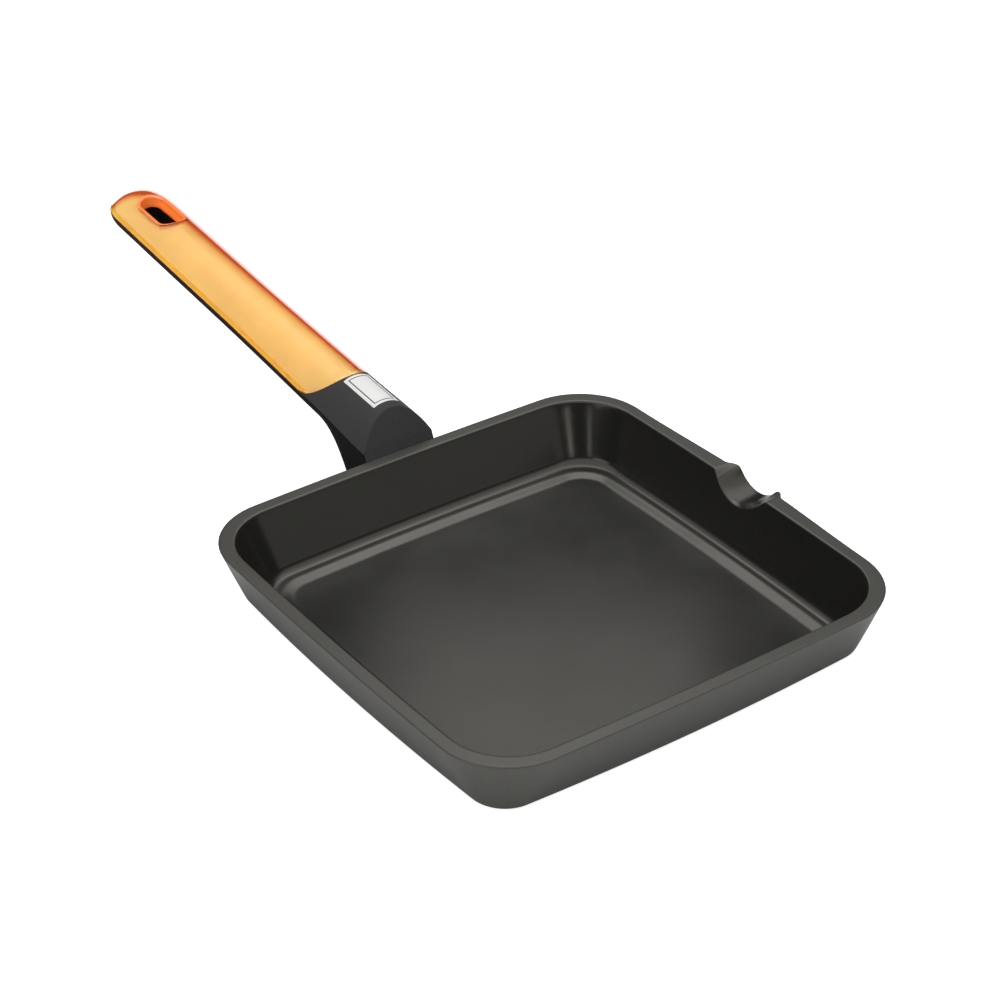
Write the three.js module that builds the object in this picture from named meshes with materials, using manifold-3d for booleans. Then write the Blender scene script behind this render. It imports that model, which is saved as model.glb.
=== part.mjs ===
// Square griddle pan: cast pan with a pouring spout, and a moulded handle with a translucent grip inlay.
import * as THREE from "three";
import { mergeVertices } from "three/addons/utils/BufferGeometryUtils.js";
import Module from "manifold-3d";

const wasm = await Module();
wasm.setup();

// Frame: millimetres, +Z up, +X towards the end of the handle, the spout in the -Y wall.
// z = 0 is the face that the pan rests on, and the origin is its middle.

// Driving dimensions of the pan
const PAN_WIDTH = 220; // over the rim, from the middle of one side to the middle of the other
const PAN_HEIGHT = 29.5; // from the resting face to the rim
const SIDE_BOW = 1.9; // how far the middle of a side stands out from a straight line, at the rim
const BASE_BOW = 3.5; // and at the base
const RIM_CORNER = 32.5; // corner radius of the rim, outside
const RIM_LAND = 6.5; // width of the rim, and thickness of the wall
const RIM_EDGE = 0.9; // rounding of both edges of the rim
const WALL_LEAN = 20.8; // outward lean of the walls, degrees from upright
const BASE_CORNER = 15; // corner radius where the outer wall meets the base
const BASE_FILLET = 4; // rounding between the outer wall and the base
const FLOOR_THICKNESS = 2.5;
const FLOOR_CORNER = 13;
const STEP_RISE = 2; // the step round the floor
const STEP_RUN = 2.5;
const STEP_EDGE = 0.9; // rounding of both edges of the step
const WALL_FILLET = 6.5; // hollow rounding at the foot of the inner wall
const LEDGE_WIDTH = 4.6; // flat between that rounding and the step

// Driving dimensions of the spout
const SPOUT_SHIFT = 1.8; // of the spout from the middle of its wall, away from the handle
const SPOUT_DEPTH = 8.7; // of its trough below the rim, at the inner edge of the rim
const SPOUT_LIP_DEPTH = 7.2; // and at the lip
const SPOUT_INNER_RADIUS = 20; // of the trough, at the inner edge of the rim
const SPOUT_OUTER_RADIUS = 14; // and at the lip
const SPOUT_SWELL = 2; // how far the wall swells out towards the spout, at the rim
const SPOUT_SWELL_WIDTH = 150;
const SPOUT_LIP_REACH = 2.9; // how much further the lip stands out
const SPOUT_LIP_WIDTH = 40;
const SPOUT_LIP_FLARE = 6; // over which length of the rim the lip comes out, at each end
const SPOUT_LIP_HEIGHT = 20; // from the rim down to where lip and swell run out into the wall

// Driving dimensions of the handle
const HANDLE_LENGTH = 241; // from the rim to the tip
const HANDLE_END = 17; // length of the rounded end, seen from above
const CROWN_END = 30; // length over which the crown falls off to the tip
const CROWN_RISE = 18.2; // crown above the rim, where the neck meets it
const CROWN_SLOPE = 5.1; // degrees
const RIDGE_RISE = 2.9; // side ridge above the rim, where the neck meets it
const RIDGE_SLOPE = 6.4; // degrees
const NECK_HALF = 17.3; // half widths over the side ridges
const WAIST_HALF = 16.3;
const GRIP_HALF = 16.5;
const DOME_POWER = 2.15; // of the curve that falls from the crown to the side ridges
const NECK_KEEL = 25; // depth below the side ridges, at the rim
const GRIP_KEEL = 10; // depth below the side ridges, along the grip
const KEEL_POWER = 0.8; // fullness of the rounded underside, where 1 is a half oval
const NECK_POWER = 0.2; // the same at the rim, where the sides stand upright
const NECK_LENGTH = 42; // where the neck has run out into the grip
const RIDGE_FLARE = 1.2; // how far the ridges part at the pan
const KEEL_FLARE = 6; // how much further the neck widens below them
const FACET_LEAN = 19.2; // lean of the neck's end facet, degrees from upright
const INLAY_START = 38.5; // from the rim to the inlay
const INLAY_CORNER_LENGTH = 21; // rounding of the inlay's corners at the neck, along the handle
const INLAY_CORNER_WIDTH = 12; // and across it
const INLAY_THICKNESS = 3.4;
const SLOT_FROM_TIP = 33; // from the tip to the middle of the hanging slot
const SLOT_LENGTH = 23;
const SLOT_WIDTH = 8.5;
const SLOT_FLARE = 4.2; // how far the slot opens out through the inlay

// Driving dimensions of the joint between pan and handle
const LUG_LENGTH = 36; // beyond the rim
const LUG_WIDTH = 20;
const LUG_THICKNESS = 7.6;
const LUG_DROP = 1.2; // of its top below the rim, where it leaves the wall
const LUG_SLOPE = 15.5; // degrees
const SCREW_FROM_RIM = 13; // from the rim to the axis of the screw
const SCREW_RADIUS = 2.5;
const SCREW_HEAD_RADIUS = 4.1;
const SCREW_HEAD_HEIGHT = 2.3;
const WASHER_RADIUS = 4.6;
const WASHER_THICKNESS = 0.9;
const SEAT_WEB = 2.8; // handle material between the washer and the lug
const INSERT_RADIUS = 3.7;
const FIT = 0.3; // clearance between pieces

// Driving dimensions of the induction plate
const PLATE_RADIUS = 70;
const PLATE_THICKNESS = 0.6;
const PIP_RADIUS = 2.6; // cast pips that fill the holes of the plate
const PIP_EDGE = 18; // from the edge of the plate to its outer ring of holes
const PIP_PITCH = 24; // between rings, and along each ring

// Values that follow from them
const RIM_X = PAN_WIDTH / 2;
const TIP_X = RIM_X + HANDLE_LENGTH;
const LEAN = Math.tan(THREE.MathUtils.degToRad(WALL_LEAN));
const STEP_Z = FLOOR_THICKNESS + STEP_RISE;
const outerHalfAt = (z) => RIM_X - (PAN_HEIGHT - z) * LEAN;
const innerHalfAt = (z) => outerHalfAt(z) - RIM_LAND;
const FILLET_REACH = WALL_FILLET * Math.tan(THREE.MathUtils.degToRad(90 - WALL_LEAN) / 2);
const FLOOR_HALF = innerHalfAt(STEP_Z) - FILLET_REACH - LEDGE_WIDTH - STEP_RUN;

// Evenly spaced values from a up to, but without, b.
const row = (a, b, count) => Array.from({ length: count }, (_, i) => a + ((b - a) * i) / count);

// Closed solids and booleans

function manifoldOf(geometry) {
  const bare = geometry.clone();
  bare.deleteAttribute("normal");
  bare.deleteAttribute("uv");
  const welded = mergeVertices(bare, 1e-4);
  return new wasm.Manifold(
    new wasm.Mesh({
      numProp: 3,
      vertProperties: new Float32Array(welded.attributes.position.array),
      triVerts: new Uint32Array(welded.index.array),
    }),
  );
}

function geometryOf(manifold) {
  const mesh = manifold.getMesh();
  const geometry = new THREE.BufferGeometry();
  geometry.setAttribute("position", new THREE.BufferAttribute(mesh.vertProperties, 3));
  geometry.setIndex(new THREE.BufferAttribute(mesh.triVerts, 1));
  return geometry;
}

// Skin over a row of closed rings of equal count, each seen anticlockwise from beyond the last one.
function loft(rings) {
  const count = rings[0].length;
  const points = rings.flat();
  const middle = (ring) =>
    ring.reduce((sum, p) => sum.add(p), new THREE.Vector3()).divideScalar(count);
  points.push(middle(rings[0]), middle(rings.at(-1)));
  const [first, last] = [points.length - 2, points.length - 1];
  const top = (rings.length - 1) * count;
  const faces = [];
  for (let i = 0; i < count; i++) {
    const next = (i + 1) % count;
    for (let low = 0; low < top; low += count) {
      faces.push(low + i, low + next, low + count + next);
      faces.push(low + i, low + count + next, low + count + i);
    }
    faces.push(first, next, i, last, top + i, top + next);
  }
  const geometry = new THREE.BufferGeometry().setFromPoints(points);
  geometry.setIndex(faces);
  return manifoldOf(geometry);
}

// A profile drawn in X and Z, given a width across Y.
function slab(points, width) {
  const shape = new THREE.Shape(points.map(([x, z]) => new THREE.Vector2(x, z)));
  const geometry = new THREE.ExtrudeGeometry(shape, { depth: width, bevelEnabled: false });
  geometry.rotateX(Math.PI / 2).translate(0, width / 2, 0);
  return manifoldOf(geometry);
}

function cylinder(radius, low, high, x, y, sides = 24) {
  const geometry = new THREE.CylinderGeometry(radius, radius, high - low, sides);
  geometry.rotateX(Math.PI / 2).translate(x, y, (low + high) / 2);
  return manifoldOf(geometry);
}

function revolve(profile, x, y) {
  const geometry = new THREE.LatheGeometry(
    profile.map(([radius, z]) => new THREE.Vector2(radius, z)),
    28,
  );
  geometry.rotateX(Math.PI / 2).translate(x, y, 0);
  return manifoldOf(geometry);
}

function subMesh(name, manifold, material) {
  const mesh = new THREE.Mesh(geometryOf(manifold), new THREE.MeshStandardMaterial(material));
  mesh.name = name;
  return mesh;
}

// Pan

// Outline of a square with bowed sides and round corners: each side is an arc that meets the corner arcs
// smoothly. The side of the spout has its points along the spout.
function bowedSquare(half, corner, bow, z) {
  const sideRadius = half ** 2 / (2 * bow) + bow / 2;
  const back = sideRadius - half;
  const centre = (Math.sqrt(2 * (sideRadius - corner) ** 2 - back ** 2) - back) / 2;
  const turn = Math.atan2(centre, centre + back);
  const lipStart = Math.asin((-SPOUT_SHIFT - SPOUT_LIP_WIDTH / 2) / sideRadius);
  const lipEnd = Math.asin((-SPOUT_SHIFT + SPOUT_LIP_WIDTH / 2) / sideRadius);
  const spoutAngles = [...row(-turn, lipStart, 4), ...row(lipStart, lipEnd, 20), ...row(lipEnd, turn, 4)];
  const ring = [];
  for (let side = 0; side < 4; side++) {
    const add = (cx, cy, radius, angle) => {
      const point = new THREE.Vector3(cx + radius * Math.cos(angle), cy + radius * Math.sin(angle), z);
      ring.push(point.applyAxisAngle(new THREE.Vector3(0, 0, 1), (side * Math.PI) / 2));
    };
    const sideAngles = side === 3 ? spoutAngles : row(-turn, turn, 6);
    for (const angle of sideAngles) add(-back, 0, sideRadius, angle);
    for (const angle of row(turn, Math.PI / 2 - turn, 9)) add(centre, centre, corner, angle);
  }
  return ring;
}

// How far the leaning wall stands out at the spout: a broad swell, and the lip, which goes straight down
// past the trough, narrows and runs out into the wall.
function lipReach(x, z) {
  const { clamp, smoothstep } = THREE.MathUtils;
  const off = Math.abs(x + SPOUT_SHIFT);
  const drop = clamp(PAN_HEIGHT - z, 0, SPOUT_LIP_HEIGHT);
  const half = (SPOUT_LIP_WIDTH / 2) * (1 - 0.5 * (drop / SPOUT_LIP_HEIGHT) ** 2);
  const runOut = 1 - smoothstep(drop, SPOUT_LIP_DEPTH, SPOUT_LIP_HEIGHT);
  const swell = SPOUT_SWELL * Math.cos(Math.min(off / SPOUT_SWELL_WIDTH, 0.5) * Math.PI) ** 2;
  const lip = (SPOUT_LIP_REACH + drop * LEAN) * smoothstep(half - off, 0, SPOUT_LIP_FLARE + drop / 2);
  return (swell + lip) * runOut;
}

// Polyline whose corners [half, z, rounding, steps] are turned into arcs.
function roundedProfile(corners) {
  const points = [];
  corners.forEach(([half, z, rounding, steps], i) => {
    const here = new THREE.Vector2(half, z);
    if (!rounding) {
      points.push(here);
      return;
    }
    const before = new THREE.Vector2(...corners[i - 1]).sub(here).normalize();
    const after = new THREE.Vector2(...corners[i + 1]).sub(here).normalize();
    const halfAngle = Math.acos(before.dot(after)) / 2;
    const middle = before.clone().add(after).normalize();
    const centre = here.clone().addScaledVector(middle, rounding / Math.sin(halfAngle));
    const reach = rounding / Math.tan(halfAngle);
    const start = here.clone().addScaledVector(before, reach).sub(centre);
    const end = here.clone().addScaledVector(after, reach).sub(centre);
    let sweep = end.angle() - start.angle();
    sweep -= 2 * Math.PI * Math.round(sweep / (2 * Math.PI));
    for (let step = 0; step <= steps; step++) {
      points.push(start.clone().rotateAround(new THREE.Vector2(), (sweep * step) / steps).add(centre));
    }
  });
  return points;
}

function panShell() {
  const wall = row(PAN_HEIGHT - SPOUT_LIP_HEIGHT, PAN_HEIGHT, 6).map((z) => [outerHalfAt(z), z]);
  const outside = roundedProfile([
    [FLOOR_HALF, 0],
    [outerHalfAt(0), 0, BASE_FILLET, 5],
    ...wall,
    [RIM_X, PAN_HEIGHT, RIM_EDGE, 3],
    [RIM_X - RIM_LAND / 2, PAN_HEIGHT],
  ]);
  const inside = roundedProfile([
    [RIM_X - RIM_LAND / 2, PAN_HEIGHT],
    [RIM_X - RIM_LAND, PAN_HEIGHT, RIM_EDGE, 3],
    [innerHalfAt(STEP_Z), STEP_Z, WALL_FILLET, 7],
    [FLOOR_HALF + STEP_RUN, STEP_Z, STEP_EDGE, 2],
    [FLOOR_HALF, FLOOR_THICKNESS, STEP_EDGE, 2],
    [FLOOR_HALF / 2, FLOOR_THICKNESS],
  ]);
  const outerRing = ({ x, y: z }) => {
    const corner = THREE.MathUtils.mapLinear(z, 0, PAN_HEIGHT, BASE_CORNER, RIM_CORNER);
    const ring = bowedSquare(x, corner, THREE.MathUtils.mapLinear(z, 0, PAN_HEIGHT, BASE_BOW, SIDE_BOW), z);
    for (const point of ring) if (point.y < -RIM_X / 2) point.y -= lipReach(point.x, z);
    return ring;
  };
  const innerRing = ({ x, y: z }) => {
    const rimHalf = RIM_X - RIM_LAND;
    const corner = THREE.MathUtils.mapLinear(x, FLOOR_HALF, rimHalf, FLOOR_CORNER, RIM_CORNER - RIM_LAND);
    return bowedSquare(x, corner, SIDE_BOW, z);
  };
  return loft([...outside.slice(1, -1).map(outerRing), ...inside.slice(1, -1).map(innerRing)]);
}

// Trough of the spout: a cone that narrows and rises from the inner edge of the rim to the lip.
function spoutTrough() {
  const length = RIM_LAND + SPOUT_SWELL + SPOUT_LIP_REACH;
  const over = length / 2;
  const circle = (out) => {
    const radius = THREE.MathUtils.mapLinear(out, 0, length, SPOUT_INNER_RADIUS, SPOUT_OUTER_RADIUS);
    const depth = THREE.MathUtils.mapLinear(out, 0, length, SPOUT_DEPTH, SPOUT_LIP_DEPTH);
    return row(0, 2 * Math.PI, 56).map((angle) => {
      const x = radius * Math.sin(angle) - SPOUT_SHIFT;
      const z = PAN_HEIGHT - depth + radius * (1 - Math.cos(angle));
      return new THREE.Vector3(x, -(RIM_X - RIM_LAND + out), z);
    });
  };
  return loft([circle(-over), circle(length + over)]);
}

// Cast lug in side view, grown by a clearance for its socket.
const lugHighAt = (x) =>
  PAN_HEIGHT - LUG_DROP + (x - RIM_X) * Math.tan(THREE.MathUtils.degToRad(LUG_SLOPE));
const lugLowAt = (x) => lugHighAt(x) - LUG_THICKNESS;

function lugProfile(grow) {
  const root = RIM_X - RIM_LAND;
  const end = RIM_X + LUG_LENGTH + grow;
  return [
    [root, lugLowAt(root) - grow],
    [end, lugLowAt(end) - grow],
    [end, lugHighAt(end) + grow],
    [root, lugHighAt(root) + grow],
  ];
}

// Rings of round pips, from the outer ring inwards.
function pips(radius, low, high) {
  const list = [];
  for (let ring = PLATE_RADIUS - PIP_EDGE; ring > PIP_PITCH / 2; ring -= PIP_PITCH) {
    const count = Math.round((2 * Math.PI * ring) / PIP_PITCH);
    for (let i = 0; i < count; i++) {
      const angle = (2 * Math.PI * i) / count;
      list.push(cylinder(radius, low, high, ring * Math.cos(angle), ring * Math.sin(angle), 8));
    }
  }
  return list;
}

const SCREW_X = RIM_X + SCREW_FROM_RIM;
const INSERT_LOW = lugLowAt(SCREW_X + INSERT_RADIUS) + FIT;
const INSERT_HIGH = lugHighAt(SCREW_X - INSERT_RADIUS) - 2 * FIT;

function panBody() {
  const insertHole = cylinder(INSERT_RADIUS + FIT, lugLowAt(RIM_X), INSERT_HIGH + FIT, SCREW_X, 0);
  const lug = slab(lugProfile(0), LUG_WIDTH).subtract(insertHole);
  const recess = cylinder(PLATE_RADIUS + FIT, -1, PLATE_THICKNESS, 0, 0, 48);
  let body = panShell().subtract(spoutTrough()).add(lug).subtract(recess);
  for (const pip of pips(PIP_RADIUS, 0, PLATE_THICKNESS + FIT)) body = body.add(pip);
  return body;
}

function inductionPlate() {
  let plate = cylinder(PLATE_RADIUS, 0, PLATE_THICKNESS, 0, 0, 48);
  for (const hole of pips(PIP_RADIUS + FIT, -1, PLATE_THICKNESS + 1)) plate = plate.subtract(hole);
  return plate;
}

// Handle

const crownAt = (x) =>
  PAN_HEIGHT + CROWN_RISE + (x - RIM_X) * Math.tan(THREE.MathUtils.degToRad(CROWN_SLOPE));
const ridgeAt = (x) =>
  PAN_HEIGHT + RIDGE_RISE + (x - RIM_X) * Math.tan(THREE.MathUtils.degToRad(RIDGE_SLOPE));

// Half width over the ridges, from the neck over the waist to the end of the grip.
const halfWidths = new THREE.CubicInterpolant(
  [RIM_X - 20, RIM_X + NECK_LENGTH * 0.6, RIM_X + HANDLE_LENGTH * 0.52, TIP_X - HANDLE_END - 24, TIP_X],
  [NECK_HALF, NECK_HALF, WAIST_HALF, GRIP_HALF, GRIP_HALF],
  1,
);

// Section of the handle at x: half width over the ridges, height of the dome above them, and depth,
// flare and fullness of the rounded keel below.
function sectionAt(x) {
  const close = (length, power) => {
    const past = THREE.MathUtils.clamp((x - (TIP_X - length)) / length, 0, 1);
    return (1 - past ** power) ** (1 / power);
  };
  const neck = 1 - THREE.MathUtils.smoothstep(x, RIM_X, RIM_X + NECK_LENGTH);
  return {
    half: (halfWidths.evaluate(x)[0] + RIDGE_FLARE * neck) * close(HANDLE_END, 2.7),
    dome: (crownAt(x) - ridgeAt(x)) * close(CROWN_END, 2),
    keel: THREE.MathUtils.lerp(GRIP_KEEL, NECK_KEEL, neck) * close(HANDLE_END, 2),
    flare: KEEL_FLARE * neck,
    power: THREE.MathUtils.lerp(KEEL_POWER, NECK_POWER, neck),
  };
}

const DOME_STEPS = 16;
const KEEL_STEPS = 14;

function dome(x, inset) {
  const { half, dome: rise } = sectionAt(x);
  return Array.from({ length: DOME_STEPS + 1 }, (_, i) => {
    const across = Math.cos((Math.PI * i) / DOME_STEPS);
    const y = Math.max(half - inset, 0.05) * across;
    const fall = Math.abs(across) ** DOME_POWER;
    return new THREE.Vector3(x, y, ridgeAt(x) + Math.max(rise - inset, 0.05) * (1 - fall));
  });
}

function keel(x) {
  const { half, keel: depth, flare, power } = sectionAt(x);
  return Array.from({ length: KEEL_STEPS - 1 }, (_, i) => {
    const angle = Math.PI + (Math.PI * (i + 1)) / KEEL_STEPS;
    const [c, s] = [Math.cos(angle), -Math.sin(angle)];
    const y = (half + flare * s) * Math.sign(c) * Math.abs(c) ** power;
    return new THREE.Vector3(x, y, ridgeAt(x) - depth * s ** power);
  });
}

// Stations along the handle, closer together along the neck and round the end.
function stations(from) {
  const neck = RIM_X + NECK_LENGTH;
  const straight = TIP_X - HANDLE_END;
  const list = [...row(from, neck, from < RIM_X ? 12 : 3), ...row(neck, straight, 11)];
  for (let i = 0; i <= 8; i++) list.push(straight + HANDLE_END * Math.sin(((Math.PI / 2) * i) / 8.25));
  return list;
}

// Everything in front of the handle's end: the pan's wall below the rim and the leaning facet above it.
function neckCut() {
  const gap = RIM_X + FIT;
  const low = -PAN_HEIGHT;
  const high = 3 * PAN_HEIGHT;
  const facet = Math.tan(THREE.MathUtils.degToRad(FACET_LEAN));
  const back = RIM_X - 40;
  return slab(
    [
      [back, low],
      [gap - (PAN_HEIGHT - low) * LEAN, low],
      [gap, PAN_HEIGHT],
      [gap + (high - PAN_HEIGHT) * facet, high],
      [back, high],
    ],
    8 * NECK_HALF,
  );
}

// Plan of the inlay, straight up and down: oval corners at the neck, open past the ridges and the tip.
function inlayPlan(grow) {
  const start = RIM_X + INLAY_START - grow;
  const side = NECK_HALF + grow;
  const far = 2 * NECK_HALF;
  const [length, width] = [INLAY_CORNER_LENGTH, INLAY_CORNER_WIDTH];
  const end = TIP_X + HANDLE_END;
  const shape = new THREE.Shape();
  shape.moveTo(end, -far);
  shape.lineTo(end, far);
  shape.lineTo(start + length, far);
  shape.absellipse(start + length, side - width, length, width, Math.PI / 2, Math.PI);
  shape.absellipse(start + length, width - side, length, width, Math.PI, Math.PI * 1.5);
  shape.lineTo(start + length, -far);
  shape.closePath();
  const depth = 2 * crownAt(TIP_X);
  return manifoldOf(new THREE.ExtrudeGeometry(shape, { depth, bevelEnabled: false, curveSegments: 9 }));
}

// Cap over the dome: outer skin, and inner skin inset by the thickness.
function inlayCap(outset, thickness, drop) {
  const from = RIM_X + INLAY_START - 6;
  const rings = stations(from).map((x) => {
    const outer = dome(x, -outset);
    const inner = dome(x, thickness).reverse();
    const ring = outer.concat(inner);
    for (const p of [outer[0], outer.at(-1), inner[0], inner.at(-1)]) p.z -= drop;
    return ring;
  });
  return loft(rings);
}

const SLOT_X = TIP_X - SLOT_FROM_TIP;
const SLOT_SEAT = crownAt(SLOT_X) - INLAY_THICKNESS;
const SEAT_Z = lugLowAt(SCREW_X) - SEAT_WEB;

// Hanging slot: a stadium that opens out upwards.
function slotCut(low, high, lowGrow, highGrow) {
  const stadium = (grow, z) => {
    const radius = SLOT_WIDTH / 2 + grow;
    const straight = (SLOT_LENGTH - SLOT_WIDTH) / 2;
    return Array.from({ length: 24 }, (_, i) => {
      const angle = (2 * Math.PI * (i + 0.5)) / 24;
      const end = Math.sign(Math.cos(angle)) * straight;
      return new THREE.Vector3(SLOT_X + end + radius * Math.cos(angle), radius * Math.sin(angle), z);
    });
  };
  return loft([stadium(lowGrow, low), stadium(highGrow, high)]);
}

function handleBody() {
  const rings = stations(RIM_X - 20).map((x) => dome(x, 0).concat(keel(x)));
  const socket = slab(lugProfile(FIT), LUG_WIDTH + 2 * FIT);
  const pocket = inlayCap(6, INLAY_THICKNESS + FIT, FIT).intersect(inlayPlan(FIT));
  const slot = slotCut(0, SLOT_SEAT + 20, 0, 0);
  const bore = cylinder(SCREW_RADIUS + FIT, 0, SEAT_Z + 2 * SEAT_WEB, SCREW_X, 0);
  const counterbore = cylinder(WASHER_RADIUS + FIT, 0, SEAT_Z, SCREW_X, 0);
  return loft(rings)
    .subtract(neckCut())
    .subtract(socket)
    .subtract(pocket)
    .subtract(slot)
    .subtract(bore)
    .subtract(counterbore);
}

function gripInlay() {
  const flare = slotCut(SLOT_SEAT - 3 * INLAY_THICKNESS, crownAt(SLOT_X) + 2, 0, SLOT_FLARE);
  return inlayCap(0, INLAY_THICKNESS, 0).intersect(inlayPlan(0)).subtract(flare);
}

// Fastening

function handleScrew() {
  const head = SEAT_Z - WASHER_THICKNESS;
  const bottom = head - SCREW_HEAD_HEIGHT;
  const body = revolve(
    [
      [0, bottom],
      [SCREW_HEAD_RADIUS * 0.55, bottom],
      [SCREW_HEAD_RADIUS * 0.9, bottom + SCREW_HEAD_HEIGHT * 0.3],
      [SCREW_HEAD_RADIUS, bottom + SCREW_HEAD_HEIGHT * 0.65],
      [SCREW_HEAD_RADIUS, head],
      [SCREW_RADIUS, head],
      [SCREW_RADIUS, INSERT_HIGH - 1.5],
      [SCREW_RADIUS * 0.7, INSERT_HIGH - 0.6],
      [0, INSERT_HIGH - 0.6],
    ],
    SCREW_X,
    0,
  );
  const cross = [0, Math.PI / 2].map((turn) => {
    const [length, width] = [SCREW_HEAD_RADIUS * 1.1, SCREW_HEAD_RADIUS * 0.22];
    const blade = new THREE.BoxGeometry(length, width, SCREW_HEAD_HEIGHT);
    blade.rotateZ(turn).translate(SCREW_X, 0, bottom);
    return manifoldOf(blade);
  });
  return body.subtract(cross[0]).subtract(cross[1]);
}

function ringPiece(inner, outer, low, high) {
  const profile = [
    [inner, low],
    [outer, low],
    [outer, high],
    [inner, high],
    [inner, low],
  ];
  return revolve(profile, SCREW_X, 0);
}

const screwWasher = () =>
  ringPiece(SCREW_RADIUS + FIT, WASHER_RADIUS, SEAT_Z - WASHER_THICKNESS, SEAT_Z);
const threadedInsert = () => ringPiece(SCREW_RADIUS + FIT, INSERT_RADIUS, INSERT_LOW, INSERT_HIGH);

// Assembly

const pan = new THREE.Group();
pan.add(
  subMesh("pan_body", panBody(), { color: 0x474642, roughness: 0.55, metalness: 0.35 }),
  subMesh("induction_plate", inductionPlate(), { color: 0xa8a9a8, roughness: 0.4, metalness: 1 }),
  subMesh("handle_body", handleBody(), { color: 0x2b2a2b, roughness: 0.5, metalness: 0 }),
  subMesh("grip_inlay", gripInlay(), { color: 0xf29a3a, roughness: 0.15, metalness: 0 }),
  subMesh("handle_screw", handleScrew(), { color: 0xb4b4b2, roughness: 0.35, metalness: 1 }),
  subMesh("screw_washer", screwWasher(), { color: 0x9c9c9a, roughness: 0.4, metalness: 1 }),
  subMesh("threaded_insert", threadedInsert(), { color: 0xb09a5c, roughness: 0.4, metalness: 1 }),
);

export default pan;
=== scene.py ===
"""Looks of the square griddle pan: cast body, moulded handle, gel inlay, fastening and a small studio."""

import math

import bmesh
import bpy
import numpy as np
from bpy.props import FloatProperty, FloatVectorProperty, PointerProperty
from mathutils import Matrix, Vector


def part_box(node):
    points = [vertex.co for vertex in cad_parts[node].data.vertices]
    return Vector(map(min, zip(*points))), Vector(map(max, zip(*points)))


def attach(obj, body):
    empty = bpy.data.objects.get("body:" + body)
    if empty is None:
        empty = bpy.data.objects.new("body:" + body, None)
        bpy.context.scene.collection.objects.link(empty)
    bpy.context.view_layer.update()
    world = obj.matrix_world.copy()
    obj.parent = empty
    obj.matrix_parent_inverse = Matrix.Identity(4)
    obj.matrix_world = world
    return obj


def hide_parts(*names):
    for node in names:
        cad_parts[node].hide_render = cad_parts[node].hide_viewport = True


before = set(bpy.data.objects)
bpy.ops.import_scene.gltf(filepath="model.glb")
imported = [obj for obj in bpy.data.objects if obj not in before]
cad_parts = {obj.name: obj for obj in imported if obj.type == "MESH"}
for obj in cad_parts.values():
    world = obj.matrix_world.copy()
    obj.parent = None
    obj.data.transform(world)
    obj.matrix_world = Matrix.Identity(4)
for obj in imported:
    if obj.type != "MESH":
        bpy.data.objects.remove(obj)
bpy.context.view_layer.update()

bl_info = {
    "name": "Square Griddle Pan",
    "version": (1, 0, 0),
    "blender": (4, 5, 0),
    "location": "3D View > Sidebar > Griddle Pan",
    "description": "Builds a square griddle pan with a gel grip around its CAD frame",
    "category": "Add Mesh",
}

# Sizes are in metres. The frame's axes: +Z up, +X along the handle, the spout in the -Y wall.
MM = 0.001
BODY = "root"
PAN_WIDTH = 220 * MM
RIM_X = PAN_WIDTH / 2
PLATE_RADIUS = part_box("induction_plate")[1].x
PLATE_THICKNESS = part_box("induction_plate")[1].z
PLATE_RINGS = ((52 * MM, 14), (28 * MM, 7))  # radius and count of the plate's rings of holes
HOLE_RADIUS = 2.9 * MM
HOLE_SIDES = 28
PIP_RADIUS = 2.6 * MM  # of the casting's pips in those holes
PLATE_HOLES = [
    (ring * math.cos(2 * math.pi * i / count), ring * math.sin(2 * math.pi * i / count))
    for ring, count in PLATE_RINGS
    for i in range(count)
]
SCREW_X = sum(corner.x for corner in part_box("handle_screw")) / 2
SEAT_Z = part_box("screw_washer")[1].z
INSERT_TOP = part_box("threaded_insert")[1].z


# Settings

def length(name, description, millimetres):
    """A length that a user can set, with its default in millimetres."""
    return FloatProperty(
        name=name, description=description, default=millimetres * MM, unit="LENGTH", precision=5
    )


def angle(name, description, degrees):
    return FloatProperty(name=name, description=description, default=math.radians(degrees), subtype="ANGLE")


def factor(name, description, value, top=1.0):
    return FloatProperty(name=name, description=description, default=value, min=0.0, max=top)


def power(name, description, watts):
    return FloatProperty(name=name, description=description, default=watts, unit="POWER")


def colour(name, description, *rgb):
    return FloatVectorProperty(
        name=name, description=description, default=rgb, subtype="COLOR", size=3, min=0.0, max=1.0
    )


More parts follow.
